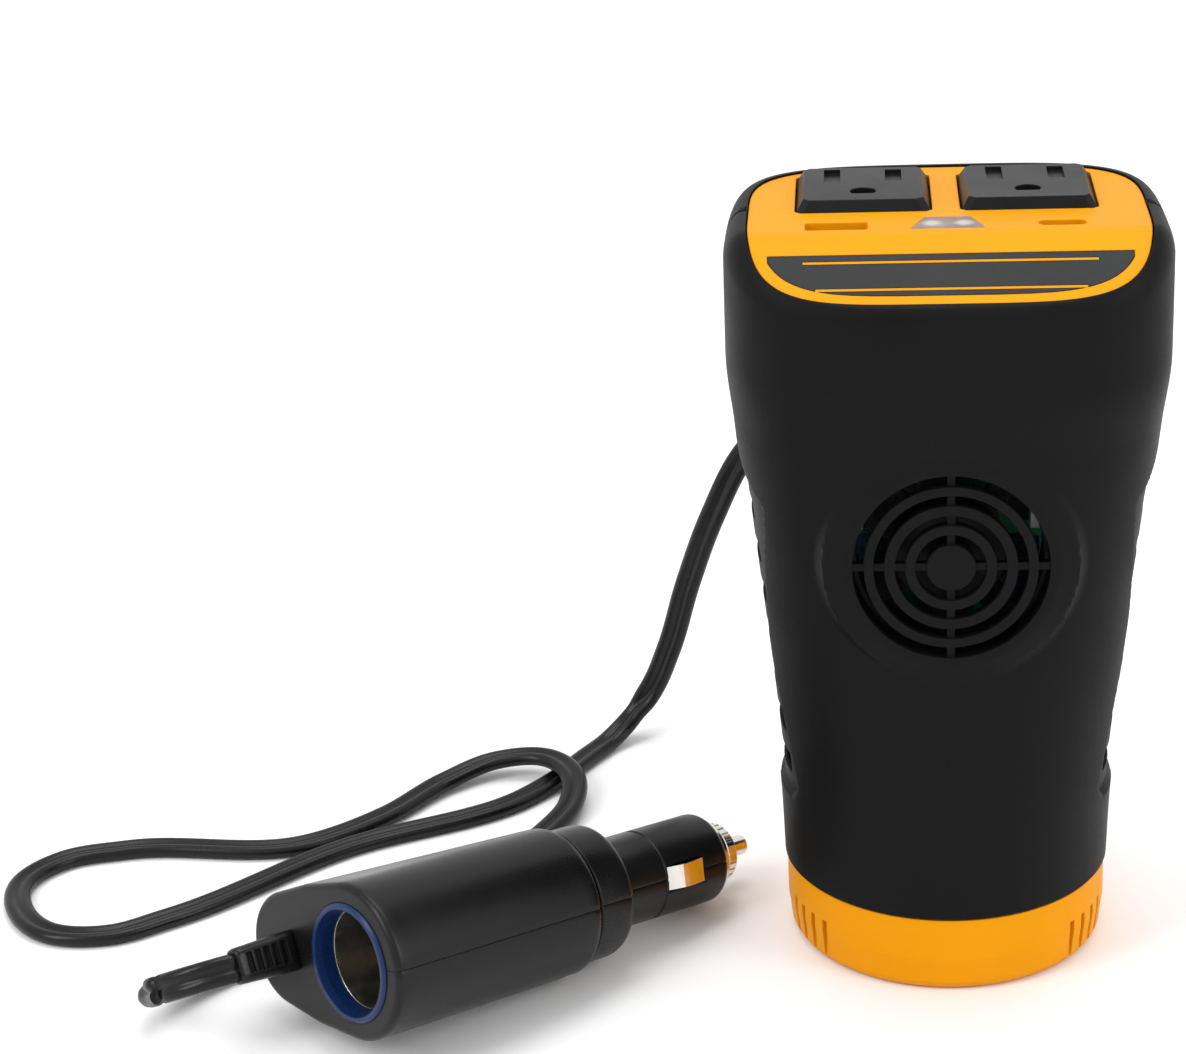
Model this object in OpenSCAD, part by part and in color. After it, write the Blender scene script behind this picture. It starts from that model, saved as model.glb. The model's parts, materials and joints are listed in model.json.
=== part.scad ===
// Cup-holder power inverter with two AC outlets, two USB ports, a cooling fan
// and a flat cord that ends in a 12 V plug with a pass-through socket.
// Millimetres, +Z up, the fan faces -Y, origin under the middle of the base.

/* [Body] */
// Radius of the base ring at its seam, sized for a cup holder
base_r = 34.8; // [32:0.1:38]
// Height of the base ring
base_h = 17.6; // [14:0.1:22]
// Width of the head
head_w = 91; // [80:0.5:100]
// Depth of the head
head_d = 80; // [76:0.5:90]
// Height of the flat deck above the floor
deck_z = 164.7; // [150:0.1:185]
// Thickness of the shell walls
wall = 2.2; // [1.8:0.1:2.8]

/* [Top plate] */
// Width of the top plate
plate_w = 80.4; // [76:0.2:84]
// Front edge of the top plate, in front of the axis
plate_front = 37; // [35:0.2:39]
// Rear edge of the top plate, behind the axis
plate_rear = 28.7; // [26:0.2:30]
// Thickness of the top plate
plate_t = 2.4; // [2:0.1:3]
// Where the deck starts to slope down to the front
slope_start = 17.6; // [16:0.2:19]
// Angle of the label's slope
slope_angle = 30; // [24:1:34]
// Depth of the label's seat
label_t = 0.4; // [0.3:0.1:0.8]

/* [Outlets and ports] */
// Distance between the two outlets' middles
outlet_pitch = 33.6; // [32:0.1:36]
// Outlet middle, behind the axis
outlet_y = 9.3; // [7:0.1:11]
// Width of an outlet's foot in the plate
outlet_w = 27.4; // [26:0.1:28]
// Rise of the outlet face above the deck
outlet_rise = 2.2; // [1:0.1:3]
// Distance between the two blades
blade_pitch = 12.7; // [12.5:0.1:12.9]
// Distance from the blades' line to the ground pin
ground_offset = 11.9; // [11.7:0.1:12.1]
// Distance of the ports in front of the axis
port_y = 14.4; // [13.4:0.1:15.4]
// Distance of the USB-A port from the middle
usb_a_x = 22.3; // [20:0.1:25]
// Distance of the USB-C port from the middle
usb_c_x = 22.7; // [20:0.1:25]

/* [Fan] */
// Side of the square fan
fan_size = 40; // [38:0.5:41]
// Thickness of the fan
fan_t = 10; // [8:0.5:11]
// Height of the fan's axis
fan_z = 99.6; // [92:0.2:106]
// How far the boss stands out
boss_rise = 1.4; // [0.8:0.1:2]

/* [Side grips] */
// Depth of the sunk grip panels
grip_depth = 1.3; // [0.8:0.1:1.6]
// Number of vent slots in each panel
vent_count = 7; // [4:1:7]
// Distance from one vent slot to the next
vent_pitch = 9.85; // [8.5:0.05:10.5]
// Height of a vent slot
vent_h = 5; // [3:0.1:6]

/* [Adapter] */
// Radius of the 12 V plug's barrel
plug_r = 10.15; // [9.8:0.05:10.4]
// Radius of the adapter's housing
housing_r = 16.4; // [15.4:0.1:17.4]
// Length of the adapter's housing
housing_l = 56; // [54:0.5:60]
// Length of the collar behind the barrel
collar_l = 11; // [9:0.5:13]
// Length of the barrel beyond the collar
barrel_l = 31.8; // [30:0.1:34]
// Inner radius of the 12 V socket
socket_r = 10.65; // [10.5:0.05:10.9]
// Depth of the 12 V socket's tube
socket_l = 38; // [34:0.5:40]
// Travel of the plug's tip
tip_travel = 3; // [2:0.1:4]
// Travel of the plug's side contacts
spring_travel = 0.9; // [0.5:0.1:1]

/* [Cord] */
// Width of the flat twin cord
cord_w = 6.3; // [5.6:0.1:6.6]
// Thickness of the flat twin cord
cord_t = 3.2; // [2.8:0.1:3.3]

/* [Hidden] */
$fn = 64;
BLACK = [0.09, 0.09, 0.1];
DARK = [0.2, 0.2, 0.21];
YELLOW = [0.98, 0.69, 0.02];
METAL = [0.75, 0.73, 0.7];
BRASS = [0.8, 0.62, 0.25];
COPPER = [0.75, 0.4, 0.22];
BLUE = [0.16, 0.3, 0.6];
GREEN = [0.1, 0.32, 0.18];
WHITE = [0.93, 0.93, 0.9];
RED = [0.7, 0.1, 0.08];

gap = 0.3;              // clearance between neighbouring pieces
fit = 0.05;             // radial running clearance
eps = 0.01;

// ---------- small helpers ----------
function unit(v) = v / norm(v);
function mix(a, b, t) = a + (b - a) * t;
function sgn_pow(v, p) = sign(v) * pow(abs(v), p);

// A value between stations, eased through them: zs are heights, vs the values there
function station(zs, vs, z, i = 0) =
    z <= zs[0] ? vs[0]
    : i >= len(zs) - 1 ? vs[len(vs) - 1]
    : z > zs[i + 1] ? station(zs, vs, z, i + 1)
    : let (h = zs[i + 1] - zs[i], t = (z - zs[i]) / h,
           m0 = i == 0 ? (vs[1] - vs[0]) / h : (vs[i + 1] - vs[i - 1]) / (zs[i + 1] - zs[i - 1]),
           m1 = i + 2 >= len(zs) ? 0 : (vs[i + 2] - vs[i]) / (zs[i + 2] - zs[i]))
      (2*t*t*t - 3*t*t + 1) * vs[i] + (t*t*t - 2*t*t + t) * h * m0
      + (3*t*t - 2*t*t*t) * vs[i + 1] + (t*t*t - t*t) * h * m1;

// A box given by its middle in X and Y and its lowest Z
module block(size, at = [0, 0, 0]) translate([at[0] - size[0] / 2, at[1] - size[1] / 2, at[2]]) cube(size);
// A cylinder along +Y from a point
module rod_y(at, r, l) translate(at) rotate([-90, 0, 0]) cylinder(r = r, h = l);
// A closed solid from equal rings: with loop, the last ring joins the first
module skin(rings, loop = false) {
    n = len(rings[0]);
    m = len(rings);
    side = [for (k = [0 : m - (loop ? 1 : 2)], i = [0 : n - 1])
        let (a = k * n + i, b = k * n + (i + 1) % n, kn = (k + 1) % m,
             c = kn * n + (i + 1) % n, d = kn * n + i)
        each [[a, c, b], [a, d, c]]];
    ends = loop ? [] : [[for (i = [0 : n - 1]) i], [for (i = [n - 1 : -1 : 0]) (m - 1) * n + i]];
    polyhedron([for (r = rings) each r], concat(side, ends), convexity = 10);
}
// A pan-head screw along +Z: the head's underside is at z = 0
module screw(r, l, head_r, head_h) {
    translate([0, 0, -l]) cylinder(r = r, h = l);
    difference() {
        cylinder(r = head_r, h = head_h);
        for (turn = [0, 90]) translate([0, 0, head_h * 0.45]) rotate([0, 0, turn])
            block([head_r * 1.1, head_r * 0.28, head_h]);
    }
}

// ---------- body form ----------
head_z = deck_z - 26.7;                          // the head has its full size above this
flat_z = deck_z - 18.7;                          // last level section below the draped rim
rise = head_z / 138;
body_z = [base_h, 35 * rise, 60 * rise, fan_z, fan_z + (head_z - fan_z) * 7 / 12, head_z];
wide = [0, 0.07, 0.28, 0.68, 0.87, 1];           // share of the growth in width
deep = [0, 0.02, 0.03, 0.05, 0.38, 1];           // share of the growth in depth
round_n = [2, 2.05, 2.2, 2.6, 3.1, 3.5];           // roundness of the section
skin_r = base_r + 0.5;                           // the shells stand proud of the ring
function half_w(z) = mix(skin_r, head_w / 2, station(body_z, wide, z));
function half_d(z) = mix(skin_r, head_d / 2, station(body_z, deep, z));
function power(z) = station(body_z, round_n, z);
function oval(a, b, n, t) = [a * sgn_pow(cos(t), 2 / n), b * sgn_pow(sin(t), 2 / n)];

// Height of the top surface: flat, falling to the front under the label and a little to the rear
slope_blend = 6;
rear_angle = 17;
function fall(s, w, k) = s < 0 ? 0 : s < w ? k * s * s / (2 * w) : k * (s - w / 2);
function roof(y) = deck_z - fall(-slope_start - y, slope_blend, tan(slope_angle))
                          - fall(y - plate_rear + 1, slope_blend, tan(rear_angle));

plate_mid = (plate_rear - plate_front) / 2;
plate_half = (plate_rear + plate_front) / 2;
plate_n = [4.6, 3.8];                            // squarer corners at the front, rounder at the rear
function plate_xy(t, inset) =
    oval(plate_w / 2 - inset, plate_half - inset, plate_n[sin(t) < 0 ? 0 : 1], t) + [0, plate_mid];

steps = 56;                                      // points round a body section
turns = [for (i = [0 : steps - 1]) 360 * (i + 0.5) / steps];
function level(z, inset) = [for (t = turns)
    let (p = oval(half_w(z) - inset, half_d(z) - inset, power(z), t)) [p[0], p[1], z]];
// The rim swings from the head's side (q = 0) over to the plate's edge (q = 90)
rim_reach = max(head_w / 2 - plate_w / 2, head_d / 2 - plate_rear);
rim_fall = min(1.45, 16.5 / rim_reach);          // a wider rim falls less steeply
rim_proud = 0.4;
function rim(q, inset) = [for (t = turns)
    let (h = oval(head_w / 2 - inset, head_d / 2 - inset, power(head_z), t),
         p = plate_xy(t, -gap), top = roof(p[1]) + rim_proud,
         low = top - rim_fall * norm(oval(head_w / 2, head_d / 2, power(head_z), t) - p),
         s = 1 - cos(q))
    [mix(h[0], p[0], s), mix(h[1], p[1], s), mix(low, top, sin(q))]];
ledge = 5;                                       // how far the inner wall starts under the top
function collar_ring(inset, down) = [for (t = turns)
    let (p = plate_xy(t, inset)) [p[0], p[1], roof(p[1]) - down]];

ring_z = [24, 30, 37, 46, 56, 68, 80, 92, 104, 113, 121, 128, 134, 139];
outer_z = concat([base_h + gap], [for (z = ring_z) z * rise], [flat_z]);
inner_z = [for (i = [len(outer_z) - 1 : -1 : 0]) outer_z[i]];
module body_wall() skin(concat(
    [for (z = outer_z) level(z, 0)],
    [for (q = [0, 22, 45, 67, 90]) rim(q, 0)],
    [collar_ring(-gap, plate_t), collar_ring(1.6, plate_t), collar_ring(1.6, ledge)],
    [for (z = inner_z) level(z, wall)]), loop = true);
module body_core(inset, top = flat_z)
    skin([for (z = [for (k = outer_z) if (k < top) k]) level(z, inset)]);

// ---------- fan place ----------
boss_r = fan_size * 0.65;                        // round boss that carries the grille
fan_screw_pitch = fan_size * 0.8;
boss_y = -(half_d(fan_z) + boss_rise);           // front face of the grille
grille_t = 2.2;
fan_front = boss_y + 6.8;                        // front face of the fan
fan_back = fan_front + fan_t;
shroud_r = fan_size / 2 + 1.6;
fan_share = fan_size / 40;
slot_rings = [for (r = [[19.9, 17.5], [15.6, 13.4], [11.3, 9.2], [7.2, 4.9]]) r * fan_share];
spoke = 1.6;
spoke_sink = 0.7;                                // the spokes lie this far behind the rings
corner = fan_screw_pitch / 2;
module at_fan(y) translate([0, y, fan_z]) rotate([-90, 0, 0]) children();
module at_fan_corners(y) for (sx = [-1, 1], sz = [-1, 1]) translate([sx * corner, y, fan_z + sz * corner])
    rotate([-90, 0, 0]) children();

// Everything the front shell has to carry the fan: boss, shroud and four screw posts
module fan_seat() {
    intersection() {
        union() {
            at_fan(boss_y) rotate_extrude() polygon([
                [0, 0], [boss_r - 4.5, 0], [boss_r, boss_rise + 0.6], [boss_r, boss_rise + wall + 1.6],
                [shroud_r, boss_rise + wall + 1.6], [shroud_r, fan_front - boss_y - 0.1],
                [0, fan_front - boss_y - 0.1]]);
            at_fan_corners(boss_y + 2) cylinder(r = 3.3, h = fan_front - boss_y - 2);
        }
        block([2 * boss_r + 2, 60, 2 * boss_r + 2], [0, boss_y + 30, fan_z - boss_r - 1]);
    }
}
module fan_openings() {
    at_fan(boss_y + grille_t) cylinder(r = fan_size / 2 - 0.2, h = 20);
    at_fan(boss_y - 1) difference() {
        for (ring = slot_rings) difference() {
            cylinder(r = ring[0], h = grille_t + 2);
            translate([0, 0, -1]) cylinder(r = ring[1], h = grille_t + 4);
        }
        for (turn = [0, 90]) rotate([0, 0, turn]) block([60, spoke, 20], [0, 0, 1 + spoke_sink]);
    }
    at_fan_corners(boss_y + 2.4) cylinder(r = 1.1, h = 20);
    fan_space = fan_size + 2 * gap;
    block([fan_space, 20, fan_space], [0, fan_front + 10 - gap / 3, fan_z - fan_space / 2]);
}

// ---------- side grips ----------
grip_top = 116;
grip_low = 37;
vent_top_z = 103;
vent_l = 25;
// Half width of the panel from its top to its foot
grip_edge = [[12, grip_top], [22, grip_top - 9], [19, 97], [14.5, 80], [13.5, 68], [16, 48], [17, 40],
    [14, grip_low]];
module grip_cut() for (side = [-1, 1]) difference() {
    rotate([90, 0, 90]) translate([0, 0, side > 0 ? 0 : -60]) linear_extrude(60)
        polygon(concat(
            [for (p = grip_edge) [-p[0], p[1]]],
            [for (i = [len(grip_edge) - 1 : -1 : 0]) grip_edge[i]]));
    body_core(grip_depth);
}
module vent_cuts() for (side = [-1, 1], i = [0 : vent_count - 1])
    block([30, vent_l, vent_h], [side * 48, 0, vent_top_z - vent_h / 2 - i * vent_pitch]);

// ---------- shell fixings ----------
// Screws that pull the rear shell onto the front shell: X and Z of each
shell_fix = [for (side = [-1, 1]) each
    [[side * (head_w / 2 - 11.5), head_z - 4], [side * (base_r - 8.3), base_h + 8.4]]];
fix_r = 3.2;
screw_r = 1.4;
head_r = 2.7;
board_y = 6;                                     // front face of the main board
board_t = 1.6;
board_w = 50;
board_low = 36;
board_high = head_z - 10;
board_fix = [for (side = [-1, 1]) each
    [[side * 20, board_low + 8], [side * 20, board_high - 4.5]]];
// Short feet near the base that the base ring's screws run into
base_fix = [for (turn = [45, 135, 225, 315]) (base_r - 7.3) * [cos(turn), sin(turn)]];
foot_h = 8;
// Posts under the plate that its screws run into from below
plate_fix = [for (side = [-1, 1]) each
    [[side * (plate_w / 2 - 5.7), -4], [side * (plate_w / 2 - 10.2), -20]]];
plate_shelf = 8;                                 // the shelf's underside, below the roof
gland_z = 116;
gland_r = 5.2;
gland_flange = 6.4;

module shell_fixings() {
    for (p = shell_fix) rod_y([p[0], -60, p[1]], fix_r, 120);
    for (p = base_fix) translate([p[0], p[1], base_h + gap]) cylinder(r = 3, h = foot_h);
}
module front_shell() color(BLACK) difference() {
    union() {
        intersection() {
            union() {
                difference() {
                    body_wall();
                    grip_cut();
                }
                intersection() {
                    shell_fixings();
                    body_core(wall / 2);
                }
            }
            block([200, 100, 200], [0, -50, 0]);
        }
        fan_seat();
    }
    vent_cuts();
    fan_openings();
    for (p = shell_fix) rod_y([p[0], -14, p[1]], screw_r - 0.2, 15);
    for (p = base_fix) if (p[1] < 0) translate([p[0], p[1], base_h]) cylinder(r = 1.2, h = foot_h - 1);
}
module rear_shell() color(BLACK) difference() {
    union() {
        intersection() {
            union() {
                difference() {
                    body_wall();
                    grip_cut();
                }
                intersection() {
                    union() {
                        shell_fixings();
                        for (p = board_fix) rod_y([p[0], board_y + board_t, p[1]], 3, 60);
                        rod_y([0, 26, gland_z], gland_r + 3, 30);
                    }
                    body_core(wall / 2);
                }
            }
            block([200, 100, 200], [0, 50, 0]);
        }
    }
    vent_cuts();
    for (p = shell_fix) {
        rod_y([p[0], -1, p[1]], screw_r + 0.15, 60);
        rod_y([p[0], rear_head_y(p[1]), p[1]], head_r + 0.3, 30);
    }
    for (p = board_fix) rod_y([p[0], board_y, p[1]], 1.1, 10);
    for (p = base_fix) if (p[1] > 0) translate([p[0], p[1], base_h]) cylinder(r = 1.2, h = foot_h - 1);
    rod_y([0, 20, gland_z], gland_r + fit, 40);
    rod_y([0, half_d(gland_z) - 0.6, gland_z], gland_flange + gap, 10);
}
// The shell screws' heads sit sunk in the rear shell
function rear_head_y(z) = half_d(z) * 0.5;
module shell_screws() color(METAL) for (p = shell_fix)
    translate([p[0], rear_head_y(p[1]) + 0.05, p[1]]) rotate([-90, 0, 0])
        screw(screw_r, rear_head_y(p[1]) + 11, head_r, 1.8);

// ---------- base ring ----------
ring_floor = 2.4;
ring_slots = [50, 57, 64, 71];
module base_ring() color(YELLOW) difference() {
    union() {
        rotate_extrude() difference() {
            polygon([[0, 0], [base_r - 3, 0], [base_r - 1.6, 0.7], [base_r - 0.7, 2.2], [base_r - 0.4, 5],
                [base_r, 8], [base_r, base_h], [0, base_h]]);
            polygon([[0, ring_floor], [base_r - wall - 1, ring_floor], [base_r - wall, base_h + 1],
                [0, base_h + 1]]);
        }
        for (p = base_fix) translate([p[0], p[1], 0]) cylinder(r = 3.6, h = base_h);
    }
    for (p = base_fix) translate([p[0], p[1], 0]) {
        translate([0, 0, -1]) cylinder(r = screw_r + 0.15, h = 40);
        translate([0, 0, -1]) cylinder(r = head_r + 0.3, h = base_h - 5);
    }
    for (half = [0, 180], side = [-1, 1], turn = ring_slots) rotate([0, 0, -90 + half + side * turn])
        translate([base_r - 1.1, -0.7, 0.8]) cube([3, 1.4, base_h * 0.56]);
}
module base_screws() color(METAL) for (p = base_fix) translate([p[0], p[1], base_h - 6.05])
    rotate([180, 0, 0]) screw(screw_r - 0.22, 12, head_r, 1.8);

// ---------- top plate ----------
foot_mouth = outlet_w + 2 * gap;
foot_cut = 1.2;                                  // corner cut of the outlet's foot
function chamfered(w, c) = [for (s = [[1, 1], [-1, 1], [-1, -1], [1, -1]])
    let (a = [s[0] * w / 2, s[1] * (w / 2 - c)], b = [s[0] * (w / 2 - c), s[1] * w / 2])
    each (s[0] * s[1] > 0 ? [a, b] : [b, a])];
// Band under the roof from one depth to another, drawn along X
module roof_band(over, under) {
    ys = [for (y = [-48 : 2 : 48]) y];
    rotate([90, 0, 90]) translate([0, 0, -60]) linear_extrude(120) polygon(concat(
        [for (y = ys) [y, roof(y) - over]],
        [for (i = [len(ys) - 1 : -1 : 0]) [ys[i], roof(ys[i]) - under]]));
}
module plate_outline(inset) polygon([for (t = [2.5 : 5 : 357.5]) plate_xy(t, inset)]);
module plate_prism(inset) linear_extrude(250) plate_outline(inset);

label_back = -25.2;
label_half = 36;
module label_outline(inset) intersection() {
    plate_outline(2 + inset);
    translate([-label_half + inset, -60]) square([2 * (label_half - inset), 60 + label_back - inset]);
}
led_front = [7.5, -17];
led_rear = [4.6, -8.9];
module led_outline(inset) polygon([
    [-led_front[0] + inset, led_front[1] + inset], [led_front[0] - inset, led_front[1] + inset],
    [led_rear[0] - inset, led_rear[1] - inset], [-led_rear[0] + inset, led_rear[1] - inset]]);
// A slot with round ends
module slot_2d(w, h, r) hull() for (sx = [-1, 1], sy = [-1, 1])
    translate([sx * (w / 2 - r), sy * (h / 2 - r)]) circle(r, $fn = 24);
usb_a = [12.6, 5];
usb_c = [9.6, 3.4];

module top_plate() color(YELLOW) difference() {
    union() {
        intersection() {
            roof_band(0, plate_t);
            plate_prism(0);
        }
        intersection() {
            for (p = plate_fix) translate([p[0], p[1], 100]) cylinder(r = 2.6, h = 80);
            roof_band(plate_t - 0.1, plate_shelf - 0.1);
        }
    }
    for (side = [-1, 1]) translate([side * outlet_pitch / 2, outlet_y, 100]) linear_extrude(100)
        polygon(chamfered(foot_mouth, foot_cut));
    intersection() {
        roof_band(-1, label_t);
        linear_extrude(250) label_outline(0);
    }
    translate([0, 0, 100]) linear_extrude(100) led_outline(0);
    translate([-usb_a_x, -port_y, 100]) linear_extrude(100) slot_2d(usb_a[0], usb_a[1], 0.6);
    translate([usb_c_x, -port_y, 100]) linear_extrude(100) slot_2d(usb_c[0], usb_c[1], 1.6);
    for (p = plate_fix) translate([p[0], p[1], roof(p[1]) - plate_shelf - 1]) cylinder(r = 1, h = 7);
}
module plate_screws() color(METAL) for (p = plate_fix)
    translate([p[0], p[1], roof(p[1]) - plate_shelf - 1.7]) rotate([180, 0, 0]) screw(0.98, 7, 1.9, 1.3);

// Thin bars of the plate show through two slits in the label
label_slits = [[-27.1, 29], [-33.4, 26.5]];
module label_plate() color(DARK) difference() {
    intersection() {
        roof_band(0, label_t);
        linear_extrude(250) label_outline(0.1);
    }
    for (s = label_slits) translate([0, s[0], 100]) block([2 * s[1], 0.55, 100]);
}
module led_lens() color([0.92, 0.85, 0.82]) intersection() {
    roof_band(0, plate_t + 1.2);
    translate([0, 0, 100]) linear_extrude(100) led_outline(0.08);
}

// ---------- outlets ----------
outlet_top = deck_z + outlet_rise;
outlet_depth = 19;
plateau_w = outlet_w - 3;
function neutral_l() = 8.2;
function hot_l() = 7;
blade_t = 2.1;
module outlet_body() difference() {
    union() {
        translate([0, 0, deck_z - 0.4]) hull() {
            linear_extrude(eps) polygon(chamfered(outlet_w, foot_cut));
            translate([0, 0, outlet_rise + 0.4 - eps]) linear_extrude(eps)
                polygon(chamfered(plateau_w, foot_cut));
        }
        translate([0, 0, deck_z - plate_t - 0.5]) linear_extrude(plate_t + 0.1 + eps)
            polygon(chamfered(outlet_w, foot_cut));
        translate([0, 0, deck_z - plate_t - 2.1]) linear_extrude(2) polygon(chamfered(outlet_w + 3, 6));
        block([outlet_w - 1, outlet_w - 1, outlet_depth - 4], [0, 0, outlet_top - outlet_depth]);
    }
    for (blade = [[-1, neutral_l()], [1, hot_l()]])
        translate([blade[0] * blade_pitch / 2, ground_offset / 2, outlet_top]) {
            block([blade_t, blade[1], outlet_depth], [0, 0, -outlet_depth - 1]);
            block([blade_t + 1.3, blade[1] + 1.6, 5], [0, 0, -0.9]);
            block([4.6, 9.4, outlet_depth], [0, 0, -outlet_depth - 3.4]);
        }
    translate([0, -ground_offset / 2, outlet_top - outlet_depth - 1]) {
        difference() {
            cylinder(r = 2.7, h = outlet_depth + 2);
            block([10, 4, 60], [0, -3.6, -1]);
        }
        cylinder(r = 3.9, h = outlet_depth - 3);
    }
}
module contacts() {
    for (blade = [[-1, neutral_l()], [1, hot_l()]], leaf = [-1, 1])
        block([0.6, 6.5, 12],
            [blade[0] * blade_pitch / 2 + leaf * 1.6, ground_offset / 2, outlet_top - outlet_depth + 0.6]);
    translate([0, -ground_offset / 2, outlet_top - outlet_depth + 0.6]) difference() {
        cylinder(r = 3.6, h = 10);
        translate([0, 0, -1]) cylinder(r = 2.9, h = 12);
    }
}
module at_outlet(side) translate([side * outlet_pitch / 2, outlet_y, 0]) children();
module outlet_left() color(BLACK) at_outlet(-1) outlet_body();
module outlet_right() color(BLACK) at_outlet(1) outlet_body();
module outlet_contacts_left() color(BRASS) at_outlet(-1) contacts();
module outlet_contacts_right() color(BRASS) at_outlet(1) contacts();

// ---------- USB module ----------
usb_board_z = deck_z - 18.7;
port_top = deck_z - plate_t - 0.2;
module usb_a_port() color(METAL) translate([-usb_a_x, -port_y, usb_board_z + board_t]) difference() {
    block([13.4, 5.8, port_top - usb_board_z - board_t]);
    difference() {
        block([12.5, 4.9, 30], [0, 0, 5]);
        block([11.5, 1.8, 12], [0, 0.8, 0]);
    }
}
module usb_c_port() color(METAL) translate([usb_c_x, -port_y, usb_board_z + board_t]) difference() {
    linear_extrude(port_top - usb_board_z - board_t) slot_2d(9.4, 3.6, 1.7);
    difference() {
        translate([0, 0, 6]) linear_extrude(30) slot_2d(8.5, 2.7, 1.3);
        block([6.7, 0.7, 14]);
    }
}
module usb_board() color(GREEN) block([60, 15, board_t], [0, -port_y, usb_board_z]);
module indicator_leds() color(WHITE) for (side = [-1, 1])
    translate([side * 3.2, -13, usb_board_z + board_t])
        cylinder(r = 1.5, h = port_top - 1.5 - usb_board_z - board_t);

// ---------- power electronics ----------
module on_board(x, z) translate([x, board_y, z]) rotate([90, 0, 0]) children();
module main_board() color(GREEN) difference() {
    block([board_w, board_t, board_high - board_low], [0, board_y + board_t / 2, board_low]);
    for (p = board_fix) rod_y([p[0], board_y - 1, p[1]], screw_r, 5);
}
module board_screws() color(METAL) for (p = board_fix)
    translate([p[0], board_y - 0.05, p[1]]) rotate([90, 0, 0]) screw(1.08, 8, 2.3, 1.5);
core = [24, 20, 20];                             // transformer: width, height, depth
module transformer_core() color(DARK) on_board(0, 60) difference() {
    block(core);
    for (side = [-1, 1]) block([5, core[1] + 2, core[2] - 6], [side * 6.5, 0, 3]);
}
module transformer_winding() color(COPPER) on_board(0, 60) difference() {
    block([16.6, 23, core[2] - 6.6], [0, 0, 3.3]);
    block([8.4, 24, core[2]], [0, 0, 0]);
}
module filter_capacitors() color([0.15, 0.15, 0.3]) for (x = [-17, 0, 17])
    on_board(x, 84) cylinder(r = 6, h = x == 0 ? 20 : 17);
module power_transistors() color(BLACK) for (side = [-1, 1], i = [0, 1])
    on_board(side * 15.2, 101.5 + i * 11) block([4.4, 9.6, 10]);
module heatsink() color(METAL) for (side = [-1, 1]) on_board(side * 18.6, 107) {
    block([2, 22, 13]);
    for (fin = [0 : 2]) block([3, 1.6, 13], [side * 2.4, -8 + fin * 8, 0]);
}

// ---------- fan ----------
rotor_r = fan_size / 2 - 1.8;
hub_r = 11.4;
module fan_frame() color(BLACK) difference() {
    union() {
        difference() {
            at_fan(fan_front) translate([-fan_size / 2, -fan_size / 2, 0]) cube([fan_size, fan_size, fan_t]);
            at_fan(fan_front - 1) cylinder(r = fan_size / 2 - 1, h = fan_t + 2);
        }
        at_fan(fan_back - 1.6) cylinder(r = hub_r, h = 1.6);
        for (turn = [45 : 90 : 315]) at_fan(fan_back - 1.6) rotate([0, 0, turn])
            block([fan_size / 2, 2, 1.6], [fan_size / 4 + 2, 0, 0]);
        at_fan(fan_front + 3) cylinder(r = 2.6, h = fan_t - 3);
    }
    at_fan(fan_front) cylinder(r = 1.2 + fit, h = fan_t + 1);
    at_fan_corners(fan_front - 1) cylinder(r = screw_r + 0.1, h = fan_t + 2);
}
module fan_stator() color(COPPER) at_fan(fan_front + 4) difference() {
    union() {
        cylinder(r = 4.6, h = 3.6);
        for (turn = [0 : 90 : 270]) rotate([0, 0, turn]) block([5.2, 4, 3.6], [6, 0, 0]);
    }
    translate([0, 0, -1]) cylinder(r = 2.7, h = 6);
}
blade_count = 7;
module fan_rotor() color(BLACK) at_fan(fan_front + 0.6) {
    difference() {
        cylinder(r = hub_r, h = 7.4);
        translate([0, 0, 1.4]) cylinder(r = hub_r - 1.2, h = 10);
    }
    cylinder(r = 1.2, h = 8.8);
    for (i = [0 : blade_count - 1]) rotate([0, 0, i * 360 / blade_count]) intersection() {
        translate([hub_r - 0.6, 0, 3.6]) rotate([38, 0, 0])
            block([rotor_r - hub_r + 4, 7.6, 0.9], [(rotor_r - hub_r + 4) / 2, 0, -0.45]);
        cylinder(r = rotor_r, h = 7.4);
    }
}
module fan_screws() color(METAL) at_fan_corners(fan_back + 0.05) screw(1.08, fan_t + 3, 2.3, 1.5);

// ---------- wiring inside ----------
// A round lead through points, with a ring at each of them
function lead_ring(pts, i, r, n) = let (
    a = pts[max(i - 1, 0)], b = pts[min(i + 1, len(pts) - 1)], t = unit(b - a),
    u = unit(cross(t, abs(t[2]) > 0.9 ? [1, 0, 0] : [0, 0, 1])), v = cross(t, u))
    [for (k = [0 : n - 1]) pts[i] + r * (cos(360 * k / n) * u - sin(360 * k / n) * v)];
function bow(a, b, sag, n) = [for (i = [0 : n]) mix(a, b, i / n) + sag * sin(180 * i / n)];
module lead(pts, r) skin([for (i = [0 : len(pts) - 1]) lead_ring(pts, i, r, 8)]);
module input_leads() for (side = [-1, 1]) color(side < 0 ? RED : BLACK)
    lead(bow([side * 1.7, 25.8, gland_z], [side * 6, board_y + board_t, board_high - 2],
             [side * 2, 0, 6], 6), 1.3);
module outlet_leads() for (side = [-1, 1]) color(side < 0 ? WHITE : BLACK)
    lead(bow([side * 10, board_y - 2, board_high], [side * 14, board_y + 8, outlet_top - outlet_depth - 0.1],
             [side * 3, -6, 0], 6), 1.1);

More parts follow.
